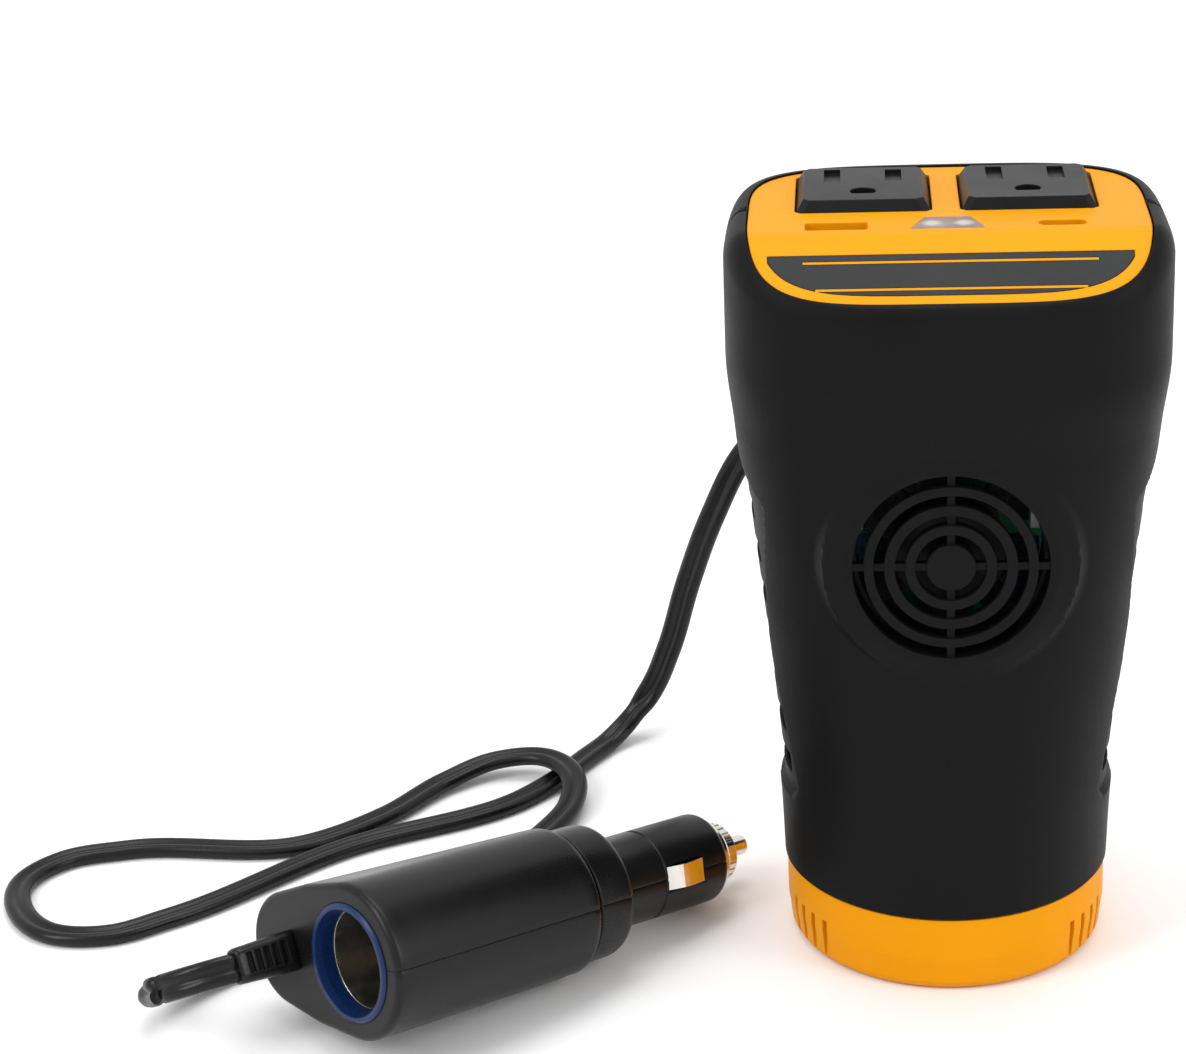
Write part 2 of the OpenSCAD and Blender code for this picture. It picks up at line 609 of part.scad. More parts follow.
// ---------- cable gland ----------
gland_tip = 50;
module cable_gland() color(BLACK) difference() {
    union() {
        rod_y([0, 26, gland_z], gland_r, 12);
        rod_y([0, half_d(gland_z) - 0.55, gland_z], gland_flange, 2.8);
        translate([0, half_d(gland_z) + 2, gland_z]) rotate([-90, 0, 0]) hull() {
            block([11.6, 9.6, eps]);
            block([cord_w + 2.6, cord_t + 2.6, eps], [0, 0, gland_tip - half_d(gland_z) - 2]);
        }
    }
    for (i = [0 : 2]) translate([0, half_d(gland_z) + 4.4 + i * 3, gland_z]) for (side = [-1, 1])
        block([20, 1.2, 3], [0, 0, side > 0 ? 3.2 - i * 0.5 : -6.2 + i * 0.5]);
}

// ---------- cord ----------
// Middle of the cord from the gland to the adapter's strain relief; it lies on the floor where z is low
cord_route = [
    [0, 50, 116], [0, 60, 116], [-6.5, 72.5, 112], [-19, 79.5, 103.5], [-33, 81.5, 93],
    [-45.5, 81.5, 80], [-53.5, 84, 63.5], [-60.5, 88, 43.5], [-66, 91, 24.5], [-71, 92.5, 12.5],
    [-75.5, 90.5, 6.5], [-80.5, 85.5, 2.6], [-86.5, 76, 1.7], [-92, 65.5, 1.7], [-100.5, 53.5, 1.7],
    [-140, 28.5, 1.7], [-176, -5.5, 1.7], [-188, -13, 1.7], [-201, -12.5, 1.7], [-211, -2, 1.7],
    [-213.5, 12, 1.7], [-206.5, 22.5, 1.7], [-193, 27.5, 1.7], [-149.5, 30.5, 1.7], [-132.5, 45, 1.8],
    [-120, 61.5, 2.6], [-108, 69.5, 4.3], [-96.5, 69, 5.3], [-89, 60.5, 5.2], [-88, 48, 3.4],
    [-93, 36, 2.1], [-109, 15, 1.7], [-138, -13.5, 2.1], [-165.3, -39, 4.6], [-169.4, -46.5, 7.1],
    [-168.3, -54.2, 11.3], [-162.5, -59.2, 15.8], [-154.1, -59.5, 18.7], [-146.4, -55.2, 18.9],
    [-142.9, -51.6, 18.3]];
function span(i) = norm(cord_route[i + 1] - cord_route[i]);
function heading(i) = let (n = len(cord_route) - 1)
    i == 0 ? (cord_route[1] - cord_route[0]) / span(0)
    : i == n ? (cord_route[n] - cord_route[n - 1]) / span(n - 1)
    : let (a = span(i - 1), b = span(i))
      unit((cord_route[i] - cord_route[i - 1]) / a * b + (cord_route[i + 1] - cord_route[i]) / b * a);
// Point and direction at share t of the stretch after point i
function cord_at(i, t) = (2*t*t*t - 3*t*t + 1) * cord_route[i] + (t*t*t - 2*t*t + t) * span(i) * heading(i)
    + (3*t*t - 2*t*t*t) * cord_route[i + 1] + (t*t*t - t*t) * span(i) * heading(i + 1);
function cord_dir(i, t) = unit((6*t*t - 6*t) * (cord_route[i] - cord_route[i + 1]) / span(i)
    + (3*t*t - 4*t + 1) * heading(i) + (3*t*t - 2*t) * heading(i + 1));
// The flat side looks up on the floor, forward where the cord hangs, and stands on edge at the adapter
hang_end = 10;
edge_start = 35;
function flat_normal(i) = i < 1 ? [0, 0, 1] : i < hang_end ? unit([0, -0.8, 0.6])
    : i < edge_start ? [0, 0, 1] : unit([-0.66, 0.56, -0.5]);
function across(i, t) = let (d = cord_dir(i, t), n = mix(flat_normal(i), flat_normal(i + 1), t))
    unit(cross(d, n));
cord_sides = 10;
function cord_ring(i, t) = let (c = cord_at(i, t), d = cord_dir(i, t), u = across(i, t), v = cross(u, d))
    [for (k = [0 : cord_sides - 1]) let (q = 360 * (k + 0.5) / cord_sides)
        c + sgn_pow(cos(q), 0.7) * cord_w / 2 * u + sgn_pow(sin(q), 0.8) * cord_t / 2 * v];
module cord() color(BLACK) skin(concat(
    [for (i = [0 : len(cord_route) - 2], t = (span(i) > 9 ? [0, 0.5] : [0])) cord_ring(i, t)],
    [cord_ring(len(cord_route) - 2, 1)]));

// ---------- adapter ----------
// Its own frame: X from the socket's mouth to the tip, Y towards the cord's tab, Z across the halves
adapter_at = [-124, -62.4, 23.25];
adapter_turn = [-14.6, 7.4, 45.3];
module at_adapter() translate(adapter_at) rotate(adapter_turn) children();
module along(x) translate([x, 0, 0]) rotate([0, 90, 0]) children();
tab_y = 22.5;
tab_r = 12.5;
relief_y = 21.7;
relief_l = 14;
barrel_x = housing_l + collar_l;
nose_x = barrel_x + barrel_l;
groove_x = barrel_x + 12;                        // fine ring groove ahead of the side contacts
socket_x = 4;                                    // the tube starts this deep
ring_flange = socket_r + 2.05;
hollow_r = socket_r + 1.1;                       // bore of the housing round the tube
tube_t = 0.45;
contact_t = 2.6;                                // height of the socket's middle contact
fuse_bore = 3.6;
thread_r = 6;
thread_l = 9;
window_x = nose_x - 18.6;
window_l = 11;
window_w = 6;
spring_w = 5.2;
adapter_fix = [[10, 27], [housing_l - 4, -4.5], [housing_l - 4, 9.5]];

module tab_slice(x, inset) {
    along(x) cylinder(r = housing_r + 0.4 - inset, h = eps, $fn = 48);
    translate([0, tab_y * 0.5, 0]) along(x) cylinder(r = 15.3 - inset, h = eps, $fn = 32);
    translate([0, tab_y, 0]) along(x) cylinder(r = tab_r - inset, h = eps, $fn = 32);
}
module adapter_solid() {
    hull() {
        tab_slice(0, 1.1);
        tab_slice(1.3, 0);
        along(housing_l - 2) cylinder(r = housing_r, h = eps, $fn = 48);
        along(housing_l) cylinder(r = housing_r - 1.6, h = eps, $fn = 48);
    }
    along(0) rotate_extrude() polygon([
        [0, housing_l - 3], [14.9, housing_l - 3], [14.9, barrel_x - 2.6], [14.1, barrel_x - 0.8],
        [12.4, barrel_x],
        [plug_r, barrel_x], [plug_r, groove_x], [plug_r - 0.25, groove_x + 0.2],
        [plug_r - 0.25, groove_x + 0.8], [plug_r, groove_x + 1],
        [plug_r, nose_x - 1.6], [plug_r - 0.5, nose_x - 0.5], [plug_r - 1.5, nose_x], [0, nose_x]]);
}
module adapter_hollows() {
    along(-1) cylinder(r = hollow_r, h = socket_x + socket_l + contact_t + 4.8);
    along(-1) cylinder(r = ring_flange + 0.05, h = 2.6);
    along(barrel_x - 12) cylinder(r = fuse_bore, h = nose_x - barrel_x + 13);
    along(nose_x - thread_l) cylinder(r = thread_r + fit, h = thread_l + 1);
    for (side = [-1, 1]) translate([window_x, side > 0 ? plug_r - 4.2 : -plug_r - 1, -window_w / 2])
        cube([window_l, 5.2, window_w]);
    translate([-1, relief_y - 2.6, -3.6]) cube([9, 5.2, 7.2]);
    for (p = adapter_fix) translate([p[0], p[1], -30]) {
        cylinder(r = head_r + 0.2, h = 30 - screw_seat);
        cylinder(r = screw_r + 0.1, h = 30);
        cylinder(r = screw_r - 0.3, h = 30 + 6);
    }
}
screw_seat = 5;
module adapter_half(side) at_adapter() difference() {
    intersection() {
        adapter_solid();
        translate([-2, -50, side > 0 ? 0 : -50]) cube([nose_x + 4, 100, 50]);
    }
    adapter_hollows();
}
module adapter_upper_shell() color(BLACK) adapter_half(1);
module adapter_lower_shell() color(BLACK) adapter_half(-1);
module adapter_screws() color(METAL) at_adapter() for (p = adapter_fix)
    translate([p[0], p[1], -screw_seat - 0.05]) rotate([180, 0, 0])
        screw(screw_r - 0.32, screw_seat + 5, head_r, 1.8);

relief_turn = -16.4;
module adapter_strain_relief() color(BLACK) at_adapter() difference() {
    union() {
        translate([0, relief_y, 0]) rotate([relief_turn, 0, 0]) hull() {
            translate([-0.1, -3.6, -4.4]) cube([eps, 7.2, 8.8]);
            translate([-relief_l, -2.5, -3.9]) cube([eps, 5, 7.8]);
        }
        translate([-0.2, relief_y - 2.5, -3.5]) cube([7.8, 5, 7]);
    }
    for (i = [0 : 4], side = [-1, 1]) translate([-3 - i * 2, relief_y, 0]) rotate([relief_turn, 0, 0])
        translate([-0.5, side > 0 ? 2.75 - i * 0.18 : -5.75 + i * 0.18, -2.6]) cube([1, 3, 5.2]);
}

module socket_ring() color(BLUE) at_adapter() along(0) rotate_extrude() polygon([
    [socket_r + 0.75, -0.7], [ring_flange - 0.5, -0.7], [ring_flange, -0.2], [ring_flange, 1.5],
    [hollow_r - fit, 1.5], [hollow_r - fit, socket_x + 6], [socket_r + tube_t + 0.05, socket_x + 6],
    [socket_r + tube_t + 0.05, socket_x - 0.1],
    [socket_r + 0.1, socket_x - 0.1], [socket_r + 0.3, 1.2]]);
module socket_tube() color(METAL) at_adapter() along(socket_x) difference() {
    cylinder(r = socket_r + tube_t, h = socket_l);
    translate([0, 0, -1]) cylinder(r = socket_r, h = socket_l + 2);
}
module socket_insulator() color(DARK) at_adapter() along(socket_x + socket_l + contact_t + 0.1) difference() {
    cylinder(r = hollow_r - 0.15, h = 3.5);
    translate([0, 0, -1]) cylinder(r = 1.5, h = 6);
}
module socket_contact() color(BRASS) at_adapter() along(socket_x + socket_l + 0.05) rotate_extrude() polygon([
    [0, 0], [2.2, 0], [3.2, 0.8], [4, contact_t], [1.4, contact_t], [1.4, 5.9], [0, 5.9]]);

// Bowed contact strip in the barrel's window
strip_t = 0.5;
module ground_spring(side) color(METAL) at_adapter() rotate([side > 0 ? 0 : 180, 0, 0]) {
    bow_y = [for (i = [0 : 8]) let (t = i / 8)
        [window_x + 0.4 + t * (window_l - 0.8), plug_r - 0.7 + 1.7 * sin(150 * t) * (1 - 0.3 * t)]];
    translate([0, 0, -spring_w / 2]) linear_extrude(spring_w) polygon(concat(
        bow_y, [for (i = [8 : -1 : 0]) bow_y[i] - [0, strip_t]]));
    translate([window_x + 0.4, plug_r - 2.1, -spring_w / 2]) cube([strip_t, 1.2, spring_w]);
}
module ground_spring_left() ground_spring(1);
module ground_spring_right() ground_spring(-1);

// Metal nose: threaded spigot inside, flange and knurled ring outside
flange_l = 2.5;
knurl_l = 4;
knurl_r = 6.6;
pin_r = 2.3;
module nose_ring() color(METAL) at_adapter() difference() {
    union() {
        along(nose_x - thread_l + 0.1) cylinder(r = thread_r, h = thread_l);
        along(nose_x + 0.1) cylinder(r = 8.6, h = 1.2);
        along(nose_x + 1.3) rotate_extrude()
            polygon([[0, 0], [8.2, 0], [7.4, flange_l - 1.2], [0, flange_l - 1.2]]);
        along(nose_x + flange_l) rotate_extrude()
            polygon([[0, 0], [knurl_r, 0], [knurl_r, knurl_l - 1], [knurl_r - 1.2, knurl_l], [0, knurl_l]]);
    }
    along(nose_x - thread_l - 1) cylinder(r = fuse_bore, h = thread_l + 2.6);
    along(nose_x - 1) cylinder(r = pin_r + fit, h = 20);
    for (i = [0 : 23]) rotate([i * 15, 0, 0])
        translate([nose_x + flange_l + 0.8, knurl_r - 0.25, -0.3]) cube([10, 1, 0.6]);
}
pin_flange = 2.4;
pin_tip = nose_x + 13.4;
pin_back = nose_x - 1;
module tip_pin() color(METAL) at_adapter() {
    along(pin_back) cylinder(r = fuse_bore - 0.2, h = pin_flange);
    pin_l = pin_tip - pin_back;
    along(pin_back) rotate_extrude()
        polygon([[0, 0], [pin_r, 0], [pin_r, pin_l - 0.6], [pin_r - 0.6, pin_l], [0, pin_l]]);
}
fuse_l = 28;
fuse_x = pin_back - fuse_l;
module fuse() color(METAL) at_adapter() {
    for (x = [fuse_x, pin_back - 6]) along(x) cylinder(r = 3.2, h = 6);
    along(fuse_x) cylinder(r = 2.8, h = fuse_l);
}
coil_n = 5;
coil_r = 2.6;
spring_x0 = barrel_x - 11.9;
module tip_spring() color(METAL) at_adapter() {
    length = fuse_x - spring_x0 - 0.7;
    lead([for (i = [0 : coil_n * 12]) let (q = i * 30)
        [spring_x0 + 0.35 + length * i / (coil_n * 12), coil_r * cos(q), coil_r * sin(q)]], 0.3);
}

front_shell();
rear_shell();
top_plate();
label_plate();
led_lens();
indicator_leds();
outlet_left();
outlet_right();
outlet_contacts_left();
outlet_contacts_right();
usb_a_port();
usb_c_port();
usb_board();
main_board();
transformer_core();
transformer_winding();
filter_capacitors();
power_transistors();
heatsink();
fan_frame();
fan_stator();
fan_rotor();
fan_screws();
board_screws();
shell_screws();
plate_screws();
base_ring();
base_screws();
cable_gland();
input_leads();
outlet_leads();
cord();
adapter_upper_shell();
adapter_lower_shell();
adapter_screws();
adapter_strain_relief();
socket_ring();
socket_tube();
socket_insulator();
socket_contact();
ground_spring_right();
ground_spring_left();
nose_ring();
tip_pin();
tip_spring();
fuse();
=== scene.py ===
"""Cup-holder power inverter with its flat cord and 12 V adapter: looks, light and camera."""

import json
from math import asin, cos, pi, radians, sin, sqrt, tan

import bmesh
import bpy
from mathutils import Euler, Matrix, Vector


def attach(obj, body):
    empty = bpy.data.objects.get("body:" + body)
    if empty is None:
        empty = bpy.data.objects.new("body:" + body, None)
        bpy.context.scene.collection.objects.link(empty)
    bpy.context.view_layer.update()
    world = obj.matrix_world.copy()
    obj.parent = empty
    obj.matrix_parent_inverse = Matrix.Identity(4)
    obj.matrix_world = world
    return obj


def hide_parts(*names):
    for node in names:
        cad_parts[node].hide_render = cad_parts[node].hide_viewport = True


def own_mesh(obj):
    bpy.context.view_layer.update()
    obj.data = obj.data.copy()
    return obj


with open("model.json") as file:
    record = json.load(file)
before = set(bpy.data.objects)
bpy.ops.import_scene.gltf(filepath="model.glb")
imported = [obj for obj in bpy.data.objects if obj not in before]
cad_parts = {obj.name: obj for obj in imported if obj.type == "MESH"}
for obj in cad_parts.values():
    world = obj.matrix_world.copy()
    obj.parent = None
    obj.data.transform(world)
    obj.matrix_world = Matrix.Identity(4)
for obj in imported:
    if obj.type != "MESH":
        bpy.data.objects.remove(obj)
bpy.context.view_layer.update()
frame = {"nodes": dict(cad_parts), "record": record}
nodes = frame["nodes"]
scene = bpy.context.scene
MM = 0.001


# ---------- camera ----------
def make_camera():
    """A long lens, slightly above and left of the front, with the object right of the frame's middle."""
    distance, rise, swing, roll = 0.65685, radians(23.56), radians(-1.87), radians(0.18)
    focal, width, height = 3029, 1186, 1054  # in pixels of the reference
    aim = Vector((0, 0, 0.075))
    shown_at = Vector((945.07 - width / 2, 607.0 - height / 2, focal)).normalized()
    back = Vector((sin(swing) * cos(rise), -cos(swing) * cos(rise), sin(rise)))
    right = (-back).cross(Vector((0, 0, 1))).normalized()
    up = right.cross(-back)
    turn = Vector((0, 0, 1)).rotation_difference(shown_at).to_matrix()
    look = turn @ Matrix.Rotation(roll, 3, "Z") @ Matrix((right, -up, -back))
    data = bpy.data.cameras.new("camera")
    data.sensor_width = 36
    data.lens = focal / width * 36
    cam = bpy.data.objects.new("camera", data)
    axes = Matrix((look[0], -Vector(look[1]), -Vector(look[2]))).transposed()
    cam.matrix_world = Matrix.Translation(aim + back * distance) @ axes.to_4x4()
    scene.collection.objects.link(cam)
    scene.camera = cam


make_camera()


# ---------- mesh helpers ----------
def new_piece(name, verts, faces, body, smooth=True):
    mesh = bpy.data.meshes.new(name)
    mesh.from_pydata([tuple(v) for v in verts], [], faces)
    mesh.validate()
    mesh.update()
    piece = bpy.data.objects.new(name, mesh)
    scene.collection.objects.link(piece)
    for p in mesh.polygons:
        p.use_smooth = smooth
    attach(piece, body)
    return piece


def skin(rings, closed_ends=True):
    """Vertices and faces of a tube through equal rings."""
    n = len(rings[0])
    verts = [v for ring in rings for v in ring]
    faces = []
    for k in range(len(rings) - 1):
        for i in range(n):
            j = (i + 1) % n
            faces.append((k * n + i, k * n + j, (k + 1) * n + j, (k + 1) * n + i))
    if closed_ends:
        faces.append(tuple(range(n - 1, -1, -1)))
        faces.append(tuple((len(rings) - 1) * n + i for i in range(n)))
    return verts, faces


# ---------- cord ----------
CORD_W = 0.0063
CORD_T = 0.0032
CORD_ROUTE = [Vector(p) * MM for p in (
    (0, 50, 116), (0, 60, 116), (-6.5, 72.5, 112), (-19, 79.5, 103.5), (-33, 81.5, 93),
    (-45.5, 81.5, 80), (-53.5, 84, 63.5), (-60.5, 88, 43.5), (-66, 91, 24.5), (-71, 92.5, 12.5),
    (-75.5, 90.5, 6.5), (-80.5, 85.5, 2.6), (-86.5, 76, 1.7), (-92, 65.5, 1.7), (-100.5, 53.5, 1.7),
    (-140, 28.5, 1.7), (-176, -5.5, 1.7), (-188, -13, 1.7), (-201, -12.5, 1.7), (-211, -2, 1.7),
    (-213.5, 12, 1.7), (-206.5, 22.5, 1.7), (-193, 27.5, 1.7), (-149.5, 30.5, 1.7), (-132.5, 45, 1.8),
    (-120, 61.5, 2.6), (-108, 69.5, 4.3), (-96.5, 69, 5.3), (-89, 60.5, 5.2), (-88, 48, 3.4),
    (-93, 36, 2.1), (-109, 15, 1.7), (-138, -13.5, 2.1), (-165.3, -39, 4.6), (-169.4, -46.5, 7.1),
    (-168.3, -54.2, 11.3), (-162.5, -59.2, 15.8), (-154.1, -59.5, 18.7), (-146.4, -55.2, 18.9),
    (-142.9, -51.6, 18.3))]
HANG_END, EDGE_START = 10, 35                # route points where it leaves the body and turns on its edge
LYING, HANGING, ON_EDGE = Vector((0, 0, 1)), Vector((0, -0.8, 0.6)), Vector((-0.66, 0.56, -0.5)).normalized()


def cord_frames(per_mm=0.7):
    """Point, direction and flat normal along the route, the same curve as the frame's."""
    p = CORD_ROUTE
    last = len(p) - 1
    spans = [(p[i + 1] - p[i]).length for i in range(last)]

    def heading(i):
        if i in (0, last):
            return (p[min(i + 1, last)] - p[max(i - 1, 0)]).normalized()
        a, b = spans[i - 1], spans[i]
        return ((p[i] - p[i - 1]) / a * b + (p[i + 1] - p[i]) / b * a).normalized()

    def normal(i):
        if i < 1:
            return LYING
        if i < HANG_END:
            return HANGING
        return LYING if i < EDGE_START else ON_EDGE

    out = []
    for i in range(last):
        steps = max(2, round(spans[i] / MM * per_mm))
        for k in range(steps + (i == last - 1)):
            t = k / steps
            point = ((2*t**3 - 3*t**2 + 1) * p[i] + (t**3 - 2*t**2 + t) * spans[i] * heading(i)
                     + (3*t**2 - 2*t**3) * p[i + 1] + (t**3 - t**2) * spans[i] * heading(i + 1))
            ease = t * t * (3 - 2 * t)
            out.append((point, normal(i).lerp(normal(i + 1), ease)))
    frames = []
    for k, (point, flat) in enumerate(out):
        ahead = (out[min(k + 1, len(out) - 1)][0] - out[max(k - 1, 0)][0]).normalized()
        across = ahead.cross(flat).normalized()
        frames.append((point, across, across.cross(ahead)))
    return frames


def twin_profile():
    """Two round conductors side by side with a shallow groove between them."""
    r = CORD_T / 2 - 0.00003                 # just inside the solid cord
    off = CORD_W / 2 - r
    points, steps, reach = [], 12, 126
    for side in (1, -1):
        for k in range(steps + 1):
            a = radians(-reach + 2 * reach * k / steps)
            points.append((side * (off + r * cos(a)), side * r * sin(a)))
        points.append((0, side * r * 0.5))
    return points


def make_cord():
    frames = cord_frames()
    rings = [[c + u * x + v * y for x, y in twin_profile()] for c, u, v in frames]
    piece = new_piece("twin_cord", *skin(rings), "inverter")
    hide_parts("cord")
    return piece, [f[0] for f in frames]


cord, cord_path = make_cord()


# ---------- materials ----------
class Tree:
    """Small helper that adds and links shader nodes."""

    def __init__(self, name):
        self.material = bpy.data.materials.new(name)
        self.material.use_nodes = True
        self.tree = self.material.node_tree
        self.shader = self.tree.nodes["Principled BSDF"]
        self.place = self.add("ShaderNodeTexCoord").outputs["Object"]

    def add(self, kind, **inputs):
        made = self.tree.nodes.new(kind)
        for key, value in inputs.items():
            self.set(made.inputs[key.replace("_", " ")], value)
        return made

    def set(self, socket, value):
        if isinstance(value, bpy.types.NodeSocket):
            self.tree.links.new(value, socket)
        else:
            socket.default_value = value

    def noise(self, scale, detail=3.0, rough=0.55):
        made = self.add("ShaderNodeTexNoise", Scale=scale, Detail=detail, Roughness=rough)
        self.set(made.inputs["Vector"], self.place)
        return made.outputs["Fac"]

    def ramp(self, value, low, high, out_low=0.0, out_high=1.0):
        made = self.add("ShaderNodeMapRange", Value=value)
        for key, number in zip(("From Min", "From Max", "To Min", "To Max"), (low, high, out_low, out_high)):
            made.inputs[key].default_value = number
        return made.outputs["Result"]

    def mix(self, amount, a, b):
        made = self.tree.nodes.new("ShaderNodeMix")
        made.data_type = "RGBA"
        self.set(made.inputs[0], amount)
        self.set(made.inputs[6], a)
        self.set(made.inputs[7], b)
        return made.outputs[2]

    def math(self, kind, a, b=0.0):
        made = self.tree.nodes.new("ShaderNodeMath")
        made.operation = kind
        self.set(made.inputs[0], a)
        self.set(made.inputs[1], b)
        return made.outputs[0]

    def edges(self, radius):
        """1 on sharp outer and inner edges, 0 on flat surface."""
        bevel = self.tree.nodes.new("ShaderNodeBevel")
        bevel.samples = 4
        bevel.inputs["Radius"].default_value = radius
        geo = self.tree.nodes.new("ShaderNodeNewGeometry")
        dot = self.tree.nodes.new("ShaderNodeVectorMath")
        dot.operation = "DOT_PRODUCT"
        self.set(dot.inputs[0], bevel.outputs[0])
        self.set(dot.inputs[1], geo.outputs["Normal"])
        return bevel.outputs[0], self.ramp(dot.outputs["Value"], 0.99, 0.86)

    def bump(self, height, strength, distance, normal=None):
        made = self.add("ShaderNodeBump", Height=height, Strength=strength, Distance=distance)
        if normal is not None:
            self.set(made.inputs["Normal"], normal)
        return made.outputs["Normal"]


def shade(rgb, k):
    return (min(rgb[0] * k, 1), min(rgb[1] * k, 1), min(rgb[2] * k, 1), 1)


def plastic(name, rgb, rough=0.5, grain=3500, depth=0.00004, strength=0.35, worn=1.5, edge=0.0004, coat=0.0,
            wander=0.12, specular=0.5):
    """Moulded plastic: fine grain, slight wander of tone and gloss, softened and slightly rubbed edges."""
    t = Tree(name)
    cloud = t.noise(45, 4)
    tone = t.mix(t.ramp(cloud, 0.3, 0.7), shade(rgb, 1 - wander), shade(rgb, 1 + wander))
    soft, rub = t.edges(edge)
    rubbed = t.math("MULTIPLY", rub, t.ramp(t.noise(160, 5), 0.35, 0.65))
    t.set(t.shader.inputs["Base Color"], t.mix(t.math("MULTIPLY", rubbed, 0.5), tone, shade(rgb, worn)))
    fine = t.noise(grain, 2)
    broad = t.ramp(cloud, 0.3, 0.7, rough - 0.05, rough + 0.05)
    gloss = t.math("ADD", broad, t.ramp(fine, 0.3, 0.7, -0.04, 0.04))
    t.set(t.shader.inputs["Roughness"], gloss)
    t.set(t.shader.inputs["Normal"], t.bump(fine, strength, depth, soft))
    t.shader.inputs["Specular IOR Level"].default_value = specular
    if coat:
        t.shader.inputs["Coat Weight"].default_value = coat
        t.shader.inputs["Coat Roughness"].default_value = 0.25
    return t.material


def metal(name, rgb, rough=0.22, brushed=900, strength=0.2, dirt=0.35, edge=0.0002):
    """Plated or drawn metal: faint lines, cloudy polish and darker specks of tarnish."""
    t = Tree(name)
    cloud = t.noise(180, 5)
    tarnish = t.ramp(t.noise(420, 6, 0.7), 0.56, 0.75)
    tone = t.mix(t.math("MULTIPLY", tarnish, dirt), shade(rgb, 1), shade(rgb, 0.45))
    t.set(t.shader.inputs["Base Color"], tone)
    t.shader.inputs["Metallic"].default_value = 1
    t.set(t.shader.inputs["Roughness"], t.ramp(cloud, 0.3, 0.7, rough - 0.07, rough + 0.1))
    soft, _ = t.edges(edge)
    t.set(t.shader.inputs["Normal"], t.bump(t.noise(brushed, 2), strength, 0.00002, soft))
    return t.material


def frosted(name):
    """Frosted clear plastic with a painted glow: a whitish base colour painted round each of the two LEDs below."""
    t = Tree(name)
    split = t.tree.nodes.new("ShaderNodeSeparateXYZ")
    t.set(split.inputs[0], t.place)
    # Where the LEDs sit, and the radii over which their painted glow fades out
    led_x, led_y, bright, faded = 0.0032, 0.0132, 0.0009, 0.0024
    across = t.math("SUBTRACT", t.math("ABSOLUTE", split.outputs[0]), led_x)
    along = t.math("ADD", split.outputs[1], led_y)
    away = t.math("SQRT", t.math("ADD", t.math("MULTIPLY", across, across), t.math("MULTIPLY", along, along)))
    cloudy = t.mix(t.ramp(t.noise(260, 4), 0.35, 0.65), (0.36, 0.25, 0.21, 1), (0.55, 0.42, 0.37, 1))
    # Painted glow: base colour goes near-white close to each LED and fades to the cloudy lens colour further away
    painted_led_glow = t.mix(t.ramp(away, bright, faded, 0.9, 0), cloudy, (0.96, 0.92, 0.88, 1))
    t.set(t.shader.inputs["Base Color"], painted_led_glow)
    t.shader.inputs["Transmission Weight"].default_value = 0.55
    t.shader.inputs["IOR"].default_value = 1.46
    t.set(t.shader.inputs["Roughness"], t.ramp(t.noise(900, 3), 0.3, 0.7, 0.35, 0.5))
    t.set(t.shader.inputs["Normal"], t.bump(t.noise(2500, 2), 0.3, 0.00003))
    return t.material


def board(name):
    """Green solder mask with darker copper areas below it."""
    t = Tree(name)
    tracks = t.add("ShaderNodeTexBrick", Scale=120.0, Mortar_Size=0.03)
    t.set(tracks.inputs["Vector"], t.place)
    green = t.mix(t.ramp(tracks.outputs["Fac"], 0, 1, 0, 0.6), (0.02, 0.16, 0.07, 1), (0.01, 0.07, 0.03, 1))
    t.set(t.shader.inputs["Base Color"], green)
    t.set(t.shader.inputs["Roughness"], t.ramp(t.noise(300), 0.3, 0.7, 0.25, 0.4))
    t.set(t.shader.inputs["Normal"], t.bump(tracks.outputs["Fac"], 0.3, 0.0001))
    return t.material


def winding(name, rgb):
    """Copper wire laid in close turns."""
    t = Tree(name)
    wave = t.add("ShaderNodeTexWave", Scale=320.0, Distortion=0.6)
    wave.bands_direction = "Z"
    t.set(wave.inputs["Vector"], t.place)
    t.set(t.shader.inputs["Base Color"], t.mix(wave.outputs["Fac"], shade(rgb, 0.45), shade(rgb, 1.1)))
    t.shader.inputs["Metallic"].default_value = 0.8
    t.set(t.shader.inputs["Roughness"], t.ramp(t.noise(300), 0.3, 0.7, 0.25, 0.45))
    t.set(t.shader.inputs["Normal"], t.bump(wave.outputs["Fac"], 0.6, 0.0002))
    return t.material


